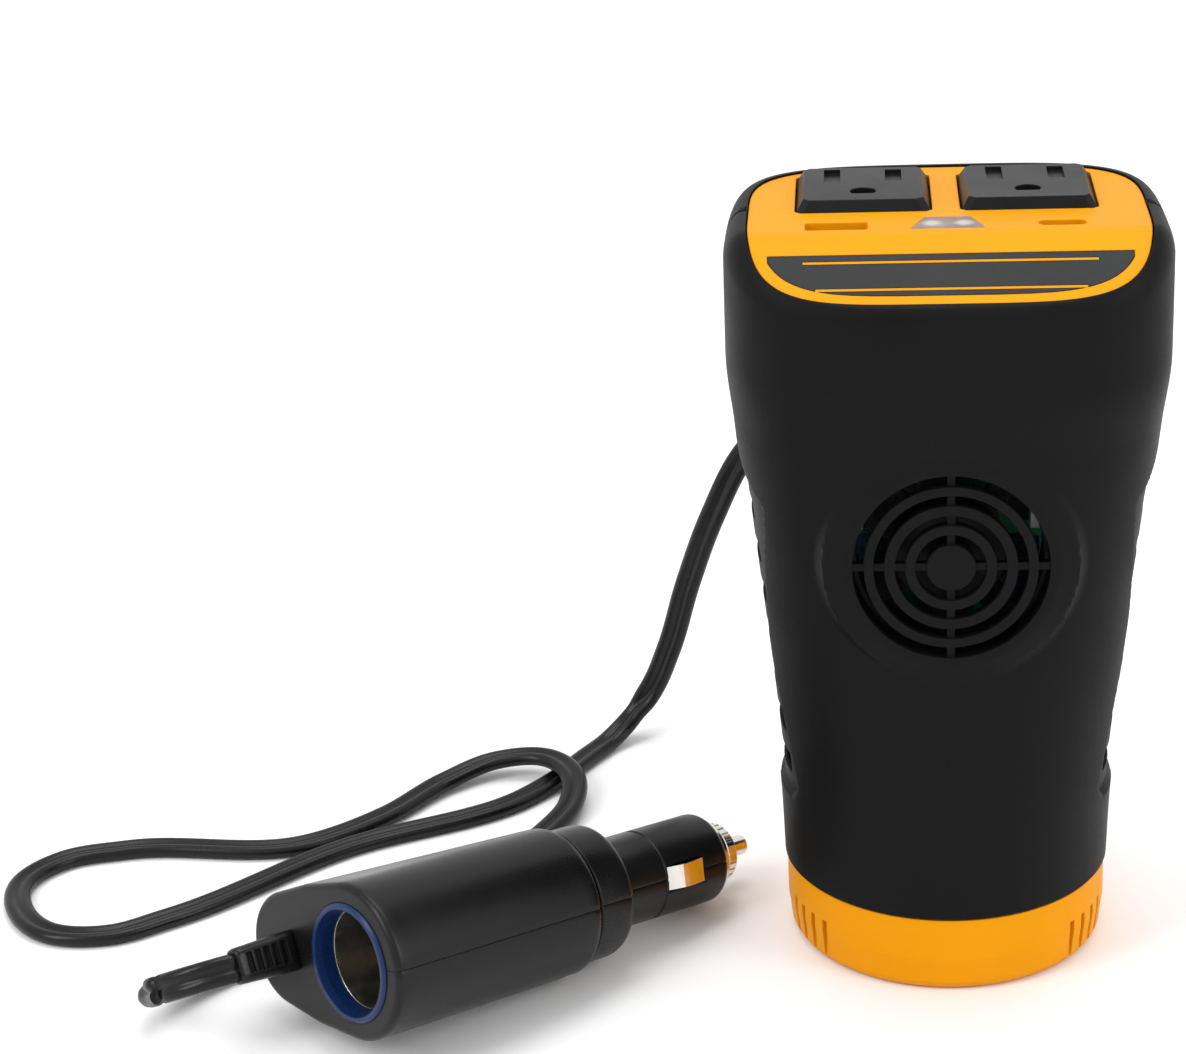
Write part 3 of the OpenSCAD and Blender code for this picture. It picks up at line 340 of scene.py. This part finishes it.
LOOKS = {
    "black_abs": plastic("black_abs", (0.0042, 0.0042, 0.0045), rough=0.5, grain=2600, depth=0.00005, strength=0.5,
                         worn=2.0, specular=0.09),
    "yellow_abs": plastic("yellow_abs", (0.72, 0.275, 0.0006), rough=0.42, grain=2600, strength=0.3, worn=1.12,
                          wander=0.03, specular=0.07),
    "label_grey": plastic("label_grey", (0.012, 0.0125, 0.0135), rough=0.34, grain=1500, strength=0.15, worn=1.2,
                          specular=0.14),
    "frosted_lens": frosted("frosted_lens"),
    "led_white": plastic("led_white", (0.85, 0.83, 0.74), rough=0.2, worn=1.05),
    "outlet_black": plastic("outlet_black", (0.0065, 0.0068, 0.007), rough=0.34, grain=3200, worn=2.4,
                            specular=0.14),
    "contact_brass": metal("contact_brass", (0.78, 0.55, 0.22), rough=0.28),
    "nickel": metal("nickel", (0.80, 0.77, 0.72), rough=0.2),
    "board_green": board("board_green"),
    "ferrite": plastic("ferrite", (0.05, 0.05, 0.055), rough=0.75, grain=1800, strength=0.6),
    "copper_winding": winding("copper_winding", (0.72, 0.34, 0.18)),
    "capacitor_sleeve": plastic("capacitor_sleeve", (0.03, 0.04, 0.11), rough=0.3, coat=0.3),
    "heatsink_aluminium": metal("heatsink_aluminium", (0.78, 0.78, 0.8), rough=0.38, brushed=500),
    "fan_plastic": plastic("fan_plastic", (0.006, 0.006, 0.0065), rough=0.45, specular=0.15),
    "zinc_steel": metal("zinc_steel", (0.66, 0.66, 0.64), rough=0.3),
    "cord_pvc": plastic("cord_pvc", (0.0028, 0.0028, 0.003), rough=0.3, grain=900, depth=0.00006, strength=0.25,
                        worn=1.3, specular=0.28),
    "lead_pvc": plastic("lead_pvc", (0.35, 0.03, 0.02), rough=0.4),
    "adapter_abs": plastic("adapter_abs", (0.0048, 0.0048, 0.0053), rough=0.32, grain=3000, strength=0.3,
                           worn=1.8, specular=0.24),
    "blue_plastic": plastic("blue_plastic", (0.003, 0.017, 0.075), rough=0.3, strength=0.15, worn=1.7,
                            specular=0.3),
}


def dress(obj, look):
    obj.data.materials.clear()
    obj.data.materials.append(LOOKS[look])


for part in frame["record"]["subparts"]:
    dress(nodes[part["node"]], part["material_slot"])
dress(cord, "cord_pvc")


# ---------- body shells ----------
# The frame's loft in millimetres, drawn finer, with soft edges on the grips, the boss and the seam
BASE_R, BASE_H, HEAD_W, HEAD_D, WALL, GAP = 35.3, 17.6, 91, 80, 2.2, 0.3
FAN_Z, HEAD_Z, FLAT_Z = 99.6, 138, 146
PLATE_W, PLATE_FRONT, PLATE_REAR, PLATE_T, DECK_Z = 80.4, 37, 28.7, 2.4, 164.7
HEIGHTS = (BASE_H, 35, 60, FAN_Z, 122, HEAD_Z)
WIDE = (0, 0.07, 0.28, 0.68, 0.87, 1)
DEEP = (0, 0.02, 0.03, 0.05, 0.38, 1)
ROUND = (2, 2.05, 2.2, 2.6, 3.1, 3.5)
GRIP_DEPTH, GRIP_LOW, GRIP_TOP = 1.3, 37, 116
GRIP_HALF = ((37, 14), (40, 17), (48, 16), (68, 13.5), (80, 14.5), (97, 19), (107, 22), (116, 12))
VENT_TOP, VENT_PITCH, VENT_L, VENT_H, VENTS = 103, 9.85, 25, 5, 7
BOSS_R, BOSS_RISE, BOSS_TAPER = 26, 1.4, 4.5
BOSS_REACH, BOSS_SINK, BOSS_WALL, BOSS_SOFT = 5, 0.6, 3.2, 1.5
ROOF_FRONT, ROOF_REAR_LEAD, ROOF_EASE = -17.6, 1, 6
FRONT_FALL, REAR_FALL = tan(radians(30)), tan(radians(17))
LOW_EDGE, SEAM_IN, SEAM_HALF, RIM_SEAM_IN = 0.35, 0.25, 0.04, 0.2
RIM_PROUD, RIM_FALL, COLLAR_W, COLLAR_DEEP = 0.4, 1.45, 1.6, 5
GRILLE_T, SPOKE, SPOKE_SINK = 2.2, 1.6, 0.7
GRILLE_RINGS = ((19.9, 17.5), (15.6, 13.4), (11.3, 9.2), (7.2, 4.9))
GLAND_Z = 116


def station(values, z):
    """Value at a height, eased through the stations as in the frame."""
    if z <= HEIGHTS[0]:
        return values[0]
    if z >= HEIGHTS[-1]:
        return values[-1]
    i = max(k for k in range(len(HEIGHTS) - 1) if HEIGHTS[k] <= z)
    h = HEIGHTS[i + 1] - HEIGHTS[i]
    t = (z - HEIGHTS[i]) / h

    def slope(k):
        if k == 0:
            return (values[1] - values[0]) / h
        if k == len(HEIGHTS) - 1:
            return 0
        return (values[k + 1] - values[k - 1]) / (HEIGHTS[k + 1] - HEIGHTS[k - 1])

    return ((2*t**3 - 3*t**2 + 1) * values[i] + (t**3 - 2*t**2 + t) * h * slope(i)
            + (3*t**2 - 2*t**3) * values[i + 1] + (t**3 - t**2) * h * slope(i + 1))


def half_w(z):
    """Half width of the body at a height; half_d is its half depth."""
    return BASE_R + (HEAD_W / 2 - BASE_R) * station(WIDE, z)


def half_d(z):
    return BASE_R + (HEAD_D / 2 - BASE_R) * station(DEEP, z)


def oval(a, b, n, t):
    """Point of a superellipse with half axes a and b and power n."""
    c, s = cos(t), sin(t)
    return (a * abs(c) ** (2 / n) * (1 if c >= 0 else -1), b * abs(s) ** (2 / n) * (1 if s >= 0 else -1))


def plate_edge(t, inset):
    """Point of the top plate's outline, moved inwards by the inset."""
    half, mid = (PLATE_REAR + PLATE_FRONT) / 2, (PLATE_REAR - PLATE_FRONT) / 2
    x, y = oval(PLATE_W / 2 - inset, half - inset, 4.6 if sin(t) < 0 else 3.8, t)
    return x, y + mid


def roof(y):
    """Height of the plate: level in the middle, falling to the front and, less, to the rear."""
    def fall(past, slope):
        if past < 0:
            return 0
        return slope * past * past / (2 * ROOF_EASE) if past < ROOF_EASE else slope * (past - ROOF_EASE / 2)
    return DECK_Z - fall(ROOF_FRONT - y, FRONT_FALL) - fall(y - PLATE_REAR + ROOF_REAR_LEAD, REAR_FALL)


BOSS_Y = -(half_d(FAN_Z) + BOSS_RISE)


def clamp01(v):
    return min(max(v, 0.0), 1.0)


def smooth(v):
    v = clamp01(v)
    return v * v * (3 - 2 * v)


def grip_mask(y, z):
    """1 on a sunk grip panel, 0 outside it, with a soft edge and a longer slope at its top."""
    if not GRIP_LOW - 1 < z < GRIP_TOP + 2:
        return 0
    k = max([0] + [j for j in range(len(GRIP_HALF) - 1) if GRIP_HALF[j][0] <= z])
    (z0, w0), (z1, w1) = GRIP_HALF[k], GRIP_HALF[min(k + 1, len(GRIP_HALF) - 1)]
    half = w0 + (w1 - w0) * clamp01((z - z0) / max(z1 - z0, 1))
    return smooth((half - abs(y)) / 1.6 + 0.5) * smooth((z - GRIP_LOW) / 2 + 0.5) * smooth((GRIP_TOP + 1 - z) / 5)


def with_boss(x, y, z):
    """Pushes the front out to the round boss that carries the grille."""
    r = sqrt(x * x + (z - FAN_Z) ** 2)
    if y > 0 or r > BOSS_R + BOSS_REACH:
        return y
    taper = max(r - BOSS_R + BOSS_TAPER, 0) / BOSS_TAPER * (BOSS_RISE + BOSS_SINK)
    boss = BOSS_Y + taper + max(r - BOSS_R, 0) * BOSS_WALL
    blend = max(BOSS_SOFT - abs(y - boss), 0) / BOSS_SOFT
    return min(y, boss) - blend * blend * BOSS_SOFT / 4


def along_arc(curve, side, shares):
    """Points of a half outline at shares of its own length; side -1 is the front half."""
    dense = [curve(side * pi * k / 720 if k % 720 else (0 if k == 0 else side * pi)) for k in range(721)]
    run = [0.0]
    for a, b in zip(dense, dense[1:]):
        run.append(run[-1] + sqrt((a[0] - b[0]) ** 2 + (a[1] - b[1]) ** 2))
    out, k = [], 0
    for share in shares:
        want = share * run[-1]
        while k < 719 and run[k + 1] < want:
            k += 1
        f = (want - run[k]) / max(run[k + 1] - run[k], 1e-9)
        a, b = dense[k], dense[k + 1]
        out.append((a[0] + (b[0] - a[0]) * f, a[1] + (b[1] - a[1]) * f))
    return out


def half_shell(name, side, cutters):
    """Front (side -1) or rear (side 1) shell: column loops round the wall, skinned along the outline."""
    columns, steps = (208, 150) if side < 0 else (112, 112)
    shares = [0, 0.003] + [k / columns for k in range(1, columns)] + [0.997, 1]
    ends = (0, len(shares) - 1)
    rows = []

    def level(z, inset, shaped):
        """One row of the wall at a height, with the grips, the boss and the seam if it is shaped."""
        def outline(t):
            return oval(half_w(z) - inset, half_d(z) - inset, station(ROUND, z), t)
        ring = []
        for k, (x, y) in enumerate(along_arc(outline, side, shares)):
            if shaped:
                sunk = GRIP_DEPTH * grip_mask(y, z) + (SEAM_IN if k in ends else 0)
                x -= sunk * (1 if x > 0 else -1)
                y = with_boss(x, y, z)
            ring.append((x, SEAM_HALF * side if k in ends else y, z))
        rows.append(ring)

    low = BASE_H + GAP
    level(low, LOW_EDGE, False)
    for k in range(steps + 1):
        level(low + LOW_EDGE + (FLAT_Z - low - LOW_EDGE) * k / steps, 0, True)
    outer = along_arc(lambda t: oval(HEAD_W / 2, HEAD_D / 2, ROUND[-1], t), side, shares)
    inner = along_arc(lambda t: plate_edge(t, -GAP), side, shares)
    for k in range(1, 13):
        q = radians(7.5 * k)
        ring = []
        for j, (h, p) in enumerate(zip(outer, inner)):
            top = roof(p[1]) + RIM_PROUD
            low_z = top - RIM_FALL * sqrt((h[0] - p[0]) ** 2 + (h[1] - p[1]) ** 2)
            s = 1 - cos(q)
            x = h[0] + (p[0] - h[0]) * s - (RIM_SEAM_IN * (1 if h[0] > 0 else -1) if j in ends else 0)
            y = SEAM_HALF * side if j in ends else h[1] + (p[1] - h[1]) * s
            ring.append((x, y, low_z + (top - low_z) * sin(q)))
        rows.append(ring)

    def collar(inset, down):
        ring = along_arc(lambda t: plate_edge(t, inset), side, shares)
        rows.append([(x, SEAM_HALF * side if k in ends else y, roof(y) - down) for k, (x, y) in enumerate(ring)])

    collar(-GAP, PLATE_T)
    collar(COLLAR_W, PLATE_T)
    collar(COLLAR_W, COLLAR_DEEP)
    for k in range(17):
        level(FLAT_Z - (FLAT_Z - low) * k / 16, WALL, False)
    loops = [[Vector(row[k]) * MM for row in rows] for k in range(len(shares))]
    if side > 0:
        loops.reverse()
    piece = new_piece(name + "_visual", *skin(loops), "inverter")
    finish_piece(piece, name, "black_abs", cutters)


def prism(outline, axis, start, end):
    """A straight solid from an outline; axis 'x' takes (y, z) points and 'y' takes (x, z) points, in mm."""
    def place(p, d):
        return Vector((d, p[0], p[1]) if axis == "x" else (p[0], d, p[1])) * MM
    return skin([[place(p, start) for p in outline], [place(p, end) for p in outline]])


def circle(r, n=64, at=(0, 0)):
    return [(at[0] + r * cos(2 * pi * k / n), at[1] + r * sin(2 * pi * k / n)) for k in range(n)]


def rounded_box(w, h, r, at=(0, 0)):
    out = []
    for sx, sy, start in ((1, 1, 0), (-1, 1, 90), (-1, -1, 180), (1, -1, 270)):
        for k in range(5):
            a = radians(start + 22.5 * k)
            out.append((at[0] + sx * (w / 2 - r) + r * cos(a), at[1] + sy * (h / 2 - r) + r * sin(a)))
    return out


def finish_piece(piece, node, look, cutters=()):
    """Cuts the openings one group after another, gives the look and takes the node's place."""
    for group in cutters:
        cut(piece, group)
    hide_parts(node)
    dress(piece, look)


def cut(piece, cutters):
    """Takes the cutter solids out of the piece in one exact boolean."""
    verts, faces = [], []
    for v, f in cutters:
        base = len(verts)
        verts += v
        faces += [tuple(base + i for i in face) for face in f]
    mesh = bpy.data.meshes.new("cutter")
    mesh.from_pydata([tuple(v) for v in verts], [], faces)
    edit = bmesh.new()
    edit.from_mesh(mesh)
    bmesh.ops.recalc_face_normals(edit, faces=edit.faces)
    edit.to_mesh(mesh)
    edit.free()
    tool = bpy.data.objects.new("cutter", mesh)
    scene.collection.objects.link(tool)
    edit = bmesh.new()
    edit.from_mesh(piece.data)
    bmesh.ops.recalc_face_normals(edit, faces=edit.faces)
    edit.to_mesh(piece.data)
    edit.free()
    step = piece.modifiers.new("cut", "BOOLEAN")
    step.operation = "DIFFERENCE"
    step.solver = "EXACT"
    step.object = tool
    bpy.context.view_layer.update()
    done = bpy.data.meshes.new_from_object(piece.evaluated_get(bpy.context.evaluated_depsgraph_get()))
    piece.modifiers.clear()
    piece.data = done
    bpy.data.objects.remove(tool)
    for p in done.polygons:
        p.use_smooth = True
    done.set_sharp_from_angle(angle=radians(32))


def vent_cutters():
    return [prism(rounded_box(VENT_L, VENT_H, 0.9, (0, VENT_TOP - k * VENT_PITCH)), "x", side * 30, side * 60)
            for side in (-1, 1) for k in range(VENTS)]


def washer(r1, r2, start, end, n=96):
    """A full ring round the fan's axis, from one Y to another."""
    loops = [[Vector((r * cos(a), y, FAN_Z + r * sin(a))) * MM for r, y in
              ((r1, start), (r1, end), (r2, end), (r2, start))] for a in (2 * pi * k / n for k in range(n))]
    verts, faces = skin(loops, False)
    faces += [(4 * (n - 1) + i, 4 * (n - 1) + (i + 1) % 4, (i + 1) % 4, i) for i in range(4)]
    return verts, faces


def sectors(r1, r2, start, end, half):
    """The four open quarters of a ring between the spokes."""
    out, n = [], 16
    for quarter in range(4):
        arcs = []
        for r, order in ((r1, range(n + 1)), (r2, range(n, -1, -1))):
            trim = asin(half / r)
            arcs += [(r * cos(a), FAN_Z + r * sin(a)) for a in
                     (radians(90) * quarter + trim + (radians(90) - 2 * trim) * k / n for k in order)]
        out.append(prism(arcs, "y", start, end))
    return out


def grille_cutters():
    """Shallow full rings, then the quarters that go through, then the room behind the grille."""
    rings = [washer(r1, r2, BOSS_Y - 3, BOSS_Y + SPOKE_SINK) for r1, r2 in GRILLE_RINGS]
    deep = [c for r1, r2 in GRILLE_RINGS
            for c in sectors(r1 - 0.02, r2 + 0.02, BOSS_Y - 2.5, BOSS_Y + GRILLE_T + 3, SPOKE / 2)]
    room = [prism(circle(19.8, 96, (0, FAN_Z)), "y", BOSS_Y + GRILLE_T, BOSS_Y + 20)]
    return [rings, deep, room]


def rear_cutters():
    out = [prism(circle(3.0, 32, (x, z)), "y", half_d(z) * 0.5, 60) for x, z in
           ((-34, 134), (34, 134), (-26.5, 26), (26.5, 26))]
    out.append(prism(circle(6.7, 48, (0, GLAND_Z)), "y", half_d(GLAND_Z) - 0.6, 60))
    out.append(prism(circle(5.25, 48, (0, GLAND_Z)), "y", 20, 60))
    return out


half_shell("front_shell", -1, [vent_cutters()] + grille_cutters())
half_shell("rear_shell", 1, [vent_cutters(), rear_cutters()])


# ---------- label lines ----------
def label_line(name, y, half):
    """A printed line that fills one of the label's slits, level with the label."""
    w, n, rings = 0.27, 24, []               # half the line's width, then its steps
    for k in range(n + 1):
        x = -half + 0.05 + (2 * half - 0.1) * k / n
        rings.append([Vector((x, y + d, roof(y + d) + up)) * MM for d, up in
                      ((-w, -0.38), (w, -0.38), (w, -0.02), (w - 0.06, 0.01), (-w + 0.06, 0.01), (-w, -0.02))])
    line = new_piece(name, *skin(rings), "inverter", smooth=False)
    dress(line, "yellow_abs")


label_line("label_line_rear", -27.1, 29)
label_line("label_line_front", -33.4, 26.5)


# ---------- adapter ----------
# Its own frame in millimetres: X from the socket's mouth to the tip, Y to the cord's tab, Z across the halves
ADAPTER = (Matrix.Translation(Vector((-124, -62.4, 23.25)) * MM)
           @ Euler((radians(-14.6), radians(7.4), radians(45.3))).to_matrix().to_4x4() @ Matrix.Scale(MM, 4))
TAB = ((0, 16.8), (11.25, 15.3), (22.5, 12.5))
TAB_Y = 21.7                                 # middle of the strain relief
HOUSING_R, PLUG_R, HOUSING_END, MOUTH_ROUND = 16.4, 10.15, 53.6, 1.6
SOCKET_R, MOUTH_R, SOCKET_DEEP = 11.75, 12.75, 48.4
WINDOW_FROM, WINDOW_TO, WINDOW_HALF = 80.2, 91.2, 3
HALVES_STEP, HALVES_HALF = 0.22, 0.03        # the fine line between the halves
ADAPTER_SCREWS = ((10, 27), (52, -4.5), (52, 9.5))


def tab_point(a, inset):
    """Point of the housing's drop outline whose outward normal has this angle."""
    y, r = max(TAB, key=lambda c: c[0] * cos(a) + c[1])
    return y + (r - inset) * cos(a), (r - inset) * sin(a)


def in_adapter(verts):
    return [ADAPTER @ Vector(v) for v in verts]


def turned(profile, n):
    """Rings round the adapter's X axis from (x, r) points."""
    return [[(x, r * cos(2 * pi * k / n), r * sin(2 * pi * k / n)) for k in range(n)] for x, r in profile]


def adapter_half(name, side):
    n = 72
    angles = [side * pi * k / n for k in range(n + 1)]
    rows = []

    def row(x, points):
        """The half outline; its two ends step in a little for the fine line between the halves."""
        ring = []
        for k, (y, z) in enumerate(points):
            edge = k in (0, n)
            step = HALVES_STEP * (1 if y > 0 else -1) if edge else 0
            ring.append((x, y - step, HALVES_HALF * side if edge else z))
        rows.append(ring)

    for k in range(8):
        q = radians(90 * k / 7)
        row(MOUTH_ROUND * (1 - cos(q)), [tab_point(a, MOUTH_ROUND * (1 - sin(q))) for a in angles])
    full = [tab_point(a, 0) for a in angles]
    steps = 26
    for k in range(1, steps + 1):
        t = k / steps
        row(MOUTH_ROUND + (HOUSING_END - MOUTH_ROUND) * t,
            [(y * (1 - t) + HOUSING_R * cos(a) * t, z * (1 - t) + HOUSING_R * sin(a) * t)
             for (y, z), a in zip(full, angles)])

    # (x, r) points: housing's end, groove, collar, then the barrel with its ring groove and rounded nose
    fifths, sixths = [radians(18 * k) for k in range(1, 6)], [radians(15 * k) for k in range(1, 6)]
    tail = [(HOUSING_END + 2.2 * sin(q), HOUSING_R - 1.5 * (1 - cos(q))) for q in fifths]
    tail += [(55.95, 14.5), (56.0, 14.15), (56.5, 14.15), (56.6, 14.7), (56.9, 14.9), (60, 14.9), (64.2, 14.9)]
    tail += [(64.2 + 2.7 * sin(q), 12.3 + 2.6 * cos(q)) for q in sixths]
    tail += [(66.95, 12.0), (67.0, 11.4), (67.02, PLUG_R + 0.35), (67.12, PLUG_R + 0.1)]
    tail += [(67.4, PLUG_R), (78.9, PLUG_R), (79, PLUG_R), (79.2, PLUG_R - 0.25), (79.8, PLUG_R - 0.25)]
    tail += [(80, PLUG_R), (80.1, PLUG_R), (88, PLUG_R), (97.2, PLUG_R)]
    tail += [(97.2 + 1.6 * sin(q), 8.55 + 1.6 * cos(q)) for q in fifths]
    for x, r in tail:
        row(x, [(r * cos(a), r * sin(a)) for a in angles])
    verts, faces = skin(rows)
    piece = new_piece(name + "_visual", in_adapter(verts), faces, "inverter")

    def bore(profile, count):
        v, f = skin(turned(profile, count))
        return in_adapter(v), f

    def box(x0, x1, y0, y1, z0, z1):
        v, f = skin([[(x, y0, z0), (x, y1, z0), (x, y1, z1), (x, y0, z1)] for x in (x0, x1)])
        return in_adapter(v), f

    hollow = [bore([(-3, MOUTH_R), (1.58, MOUTH_R), (1.62, SOCKET_R), (SOCKET_DEEP, SOCKET_R)], 72)]
    inside = [bore([(55, 3.6), (89.9, 3.6), (89.95, 6.05), (103, 6.05)], 48)]
    windows = [box(WINDOW_FROM, WINDOW_TO, *reach, -WINDOW_HALF, WINDOW_HALF)
               for reach in ((PLUG_R - 4.2, PLUG_R + 3), (-PLUG_R - 3, 4.2 - PLUG_R))]
    pocket = [box(-3, 8, TAB_Y - 2.6, TAB_Y + 2.6, -3.6, 3.6)]
    screws = []
    if side < 0:
        for x, y in ADAPTER_SCREWS:
            v, f = skin([[(x + r * cos(2 * pi * k / 32), y + r * sin(2 * pi * k / 32), z) for k in range(32)]
                         for z, r in ((-30, 2.9), (-5, 2.9))])
            screws.append((in_adapter(v), f))
    finish_piece(piece, name, "adapter_abs", [hollow, inside, windows, pocket] + ([screws] if screws else []))


adapter_half("adapter_upper_shell", 1)
adapter_half("adapter_lower_shell", -1)


def strain_relief():
    """A flattened, tapering boot with a raised tongue, laddered side windows and a plug held by the halves."""
    turn = Matrix.Rotation(radians(-16.4), 4, "X")

    def section(x, w, h, corner):
        return [(x, y, z) for y, z in rounded_box(w, h, corner)]

    def put(rings):
        verts, faces = skin(rings)
        return in_adapter([Vector((0, TAB_Y, 0)) + turn @ Vector(v) for v in verts]), faces

    # Sections (x, width, height, corner) from the housing outwards
    shape = [(-0.02, 6.6, 8.2, 1.6), (-0.25, 7.0, 8.6, 1.8), (-0.7, 7.2, 8.8, 1.9)]
    shape += [(-0.7 - 12.4 * k / 12, 7.2 - 2.1 * (k / 12) ** 0.8, 8.8 - 1.0 * k / 12, 1.9 - 0.1 * k / 12)
              for k in range(1, 13)]
    shape += [(-13.6, 4.9, 7.5, 1.8), (-13.95, 4.2, 6.8, 1.6)]
    verts, faces = put([section(x, w, h, min(r, w / 2 - 0.05)) for x, w, h, r in reversed(shape)])
    piece = new_piece("adapter_strain_relief_visual", verts, faces, "inverter")
    groups = []
    for y in (3.9, -3.9):
        moved = []
        for k in range(5):
            x0, lift = -2.2 - 2.1 * k, (1 if y > 0 else -1) * (3.75 - 0.19 * k)
            rings = [[(x, lift + a, b) for a, b in rounded_box(2.0, 5.0 - 0.15 * k, 0.35)] for x in (x0, x0 - 1.3)]
            moved.append(put(rings))
        groups.append(moved)
    finish_piece(piece, "adapter_strain_relief", "cord_pvc", groups)
    tongue = [[(x, 3.45 - 0.14 * -x * 0.9 + a, b) for a, b in rounded_box(0.9, w, 0.4)]
              for x, w in ((-0.4, 3.4), (-3, 3.2), (-7, 2.2), (-10.6, 0.85))]
    v, f = put(tongue[::-1])
    dress(new_piece("relief_tongue", v, f, "inverter"), "cord_pvc")
    v, f = skin([[(x, TAB_Y + y, z) for y, z in rounded_box(5, 7, 0.6)] for x in (-0.2, 7.6)])
    dress(new_piece("relief_plug", in_adapter(v), f, "inverter"), "cord_pvc")


strain_relief()


def tip_spring():
    """The coil behind the fuse, drawn at one length; the real one shortens as the tip goes in."""
    start, length, turns, r, wire = 55.4, 14.0, 5, 2.6, 0.3
    rings, n = [], turns * 28
    for k in range(n + 1):
        a = 2 * pi * turns * k / n
        out = Vector((0, cos(a), sin(a)))
        run = Vector((length / (2 * pi * turns), -r * sin(a), r * cos(a))).normalized()
        side = run.cross(out)
        middle = Vector((start + length * k / n, r * cos(a), r * sin(a)))
        thin = wire * (0.7 if k in (0, n) else 1)
        rings.append([middle + thin * (cos(b) * out + sin(b) * side) for b in (2 * pi * j / 10 for j in range(10))])
    verts, faces = skin(rings)
    piece = new_piece("tip_spring_visual", in_adapter(verts), faces, "inverter")
    finish_piece(piece, "tip_spring", "zinc_steel")
    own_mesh(piece)


tip_spring()


# ---------- floor and light ----------
def make_stage():
    mesh = bpy.data.meshes.new("floor")
    far, n = 6.0, 24
    verts = [(far * cos(2 * pi * k / n), far * sin(2 * pi * k / n), 0) for k in range(n)]
    mesh.from_pydata(verts, [], [tuple(range(n))])
    floor = bpy.data.objects.new("floor", mesh)
    scene.collection.objects.link(floor)
    t = Tree("floor")
    t.set(t.shader.inputs["Base Color"],
          t.mix(t.ramp(t.noise(3), 0.3, 0.7), (0.86, 0.86, 0.86, 1), (0.9, 0.9, 0.9, 1)))
    t.shader.inputs["Roughness"].default_value = 0.75
    mesh.materials.append(t.material)


def area(name, at, aim, size, power):
    data = bpy.data.lights.new(name, "AREA")
    data.shape = "RECTANGLE"
    data.size, data.size_y = size
    data.energy = power
    lamp = bpy.data.objects.new(name, data)
    lamp.location = at
    lamp.rotation_euler = (Vector(aim) - Vector(at)).to_track_quat("-Z", "Y").to_euler()
    scene.collection.objects.link(lamp)


def make_light():
    world = bpy.data.worlds.new("studio")
    world.use_nodes = True
    world.node_tree.nodes["Background"].inputs["Color"].default_value = (1, 1, 1, 1)
    world.node_tree.nodes["Background"].inputs["Strength"].default_value = 0.95
    scene.world = world
    middle = (-0.05, 0, 0.08)
    area("key_left", (-0.9, -0.6, 0.9), middle, (0.4, 0.8), 7)
    area("fill_right", (0.9, -0.5, 0.6), middle, (0.4, 0.8), 4)
    area("top", (0, 0.25, 1.3), middle, (0.9, 0.6), 6)


scene.view_settings.view_transform = "Standard"
make_stage()
make_light()
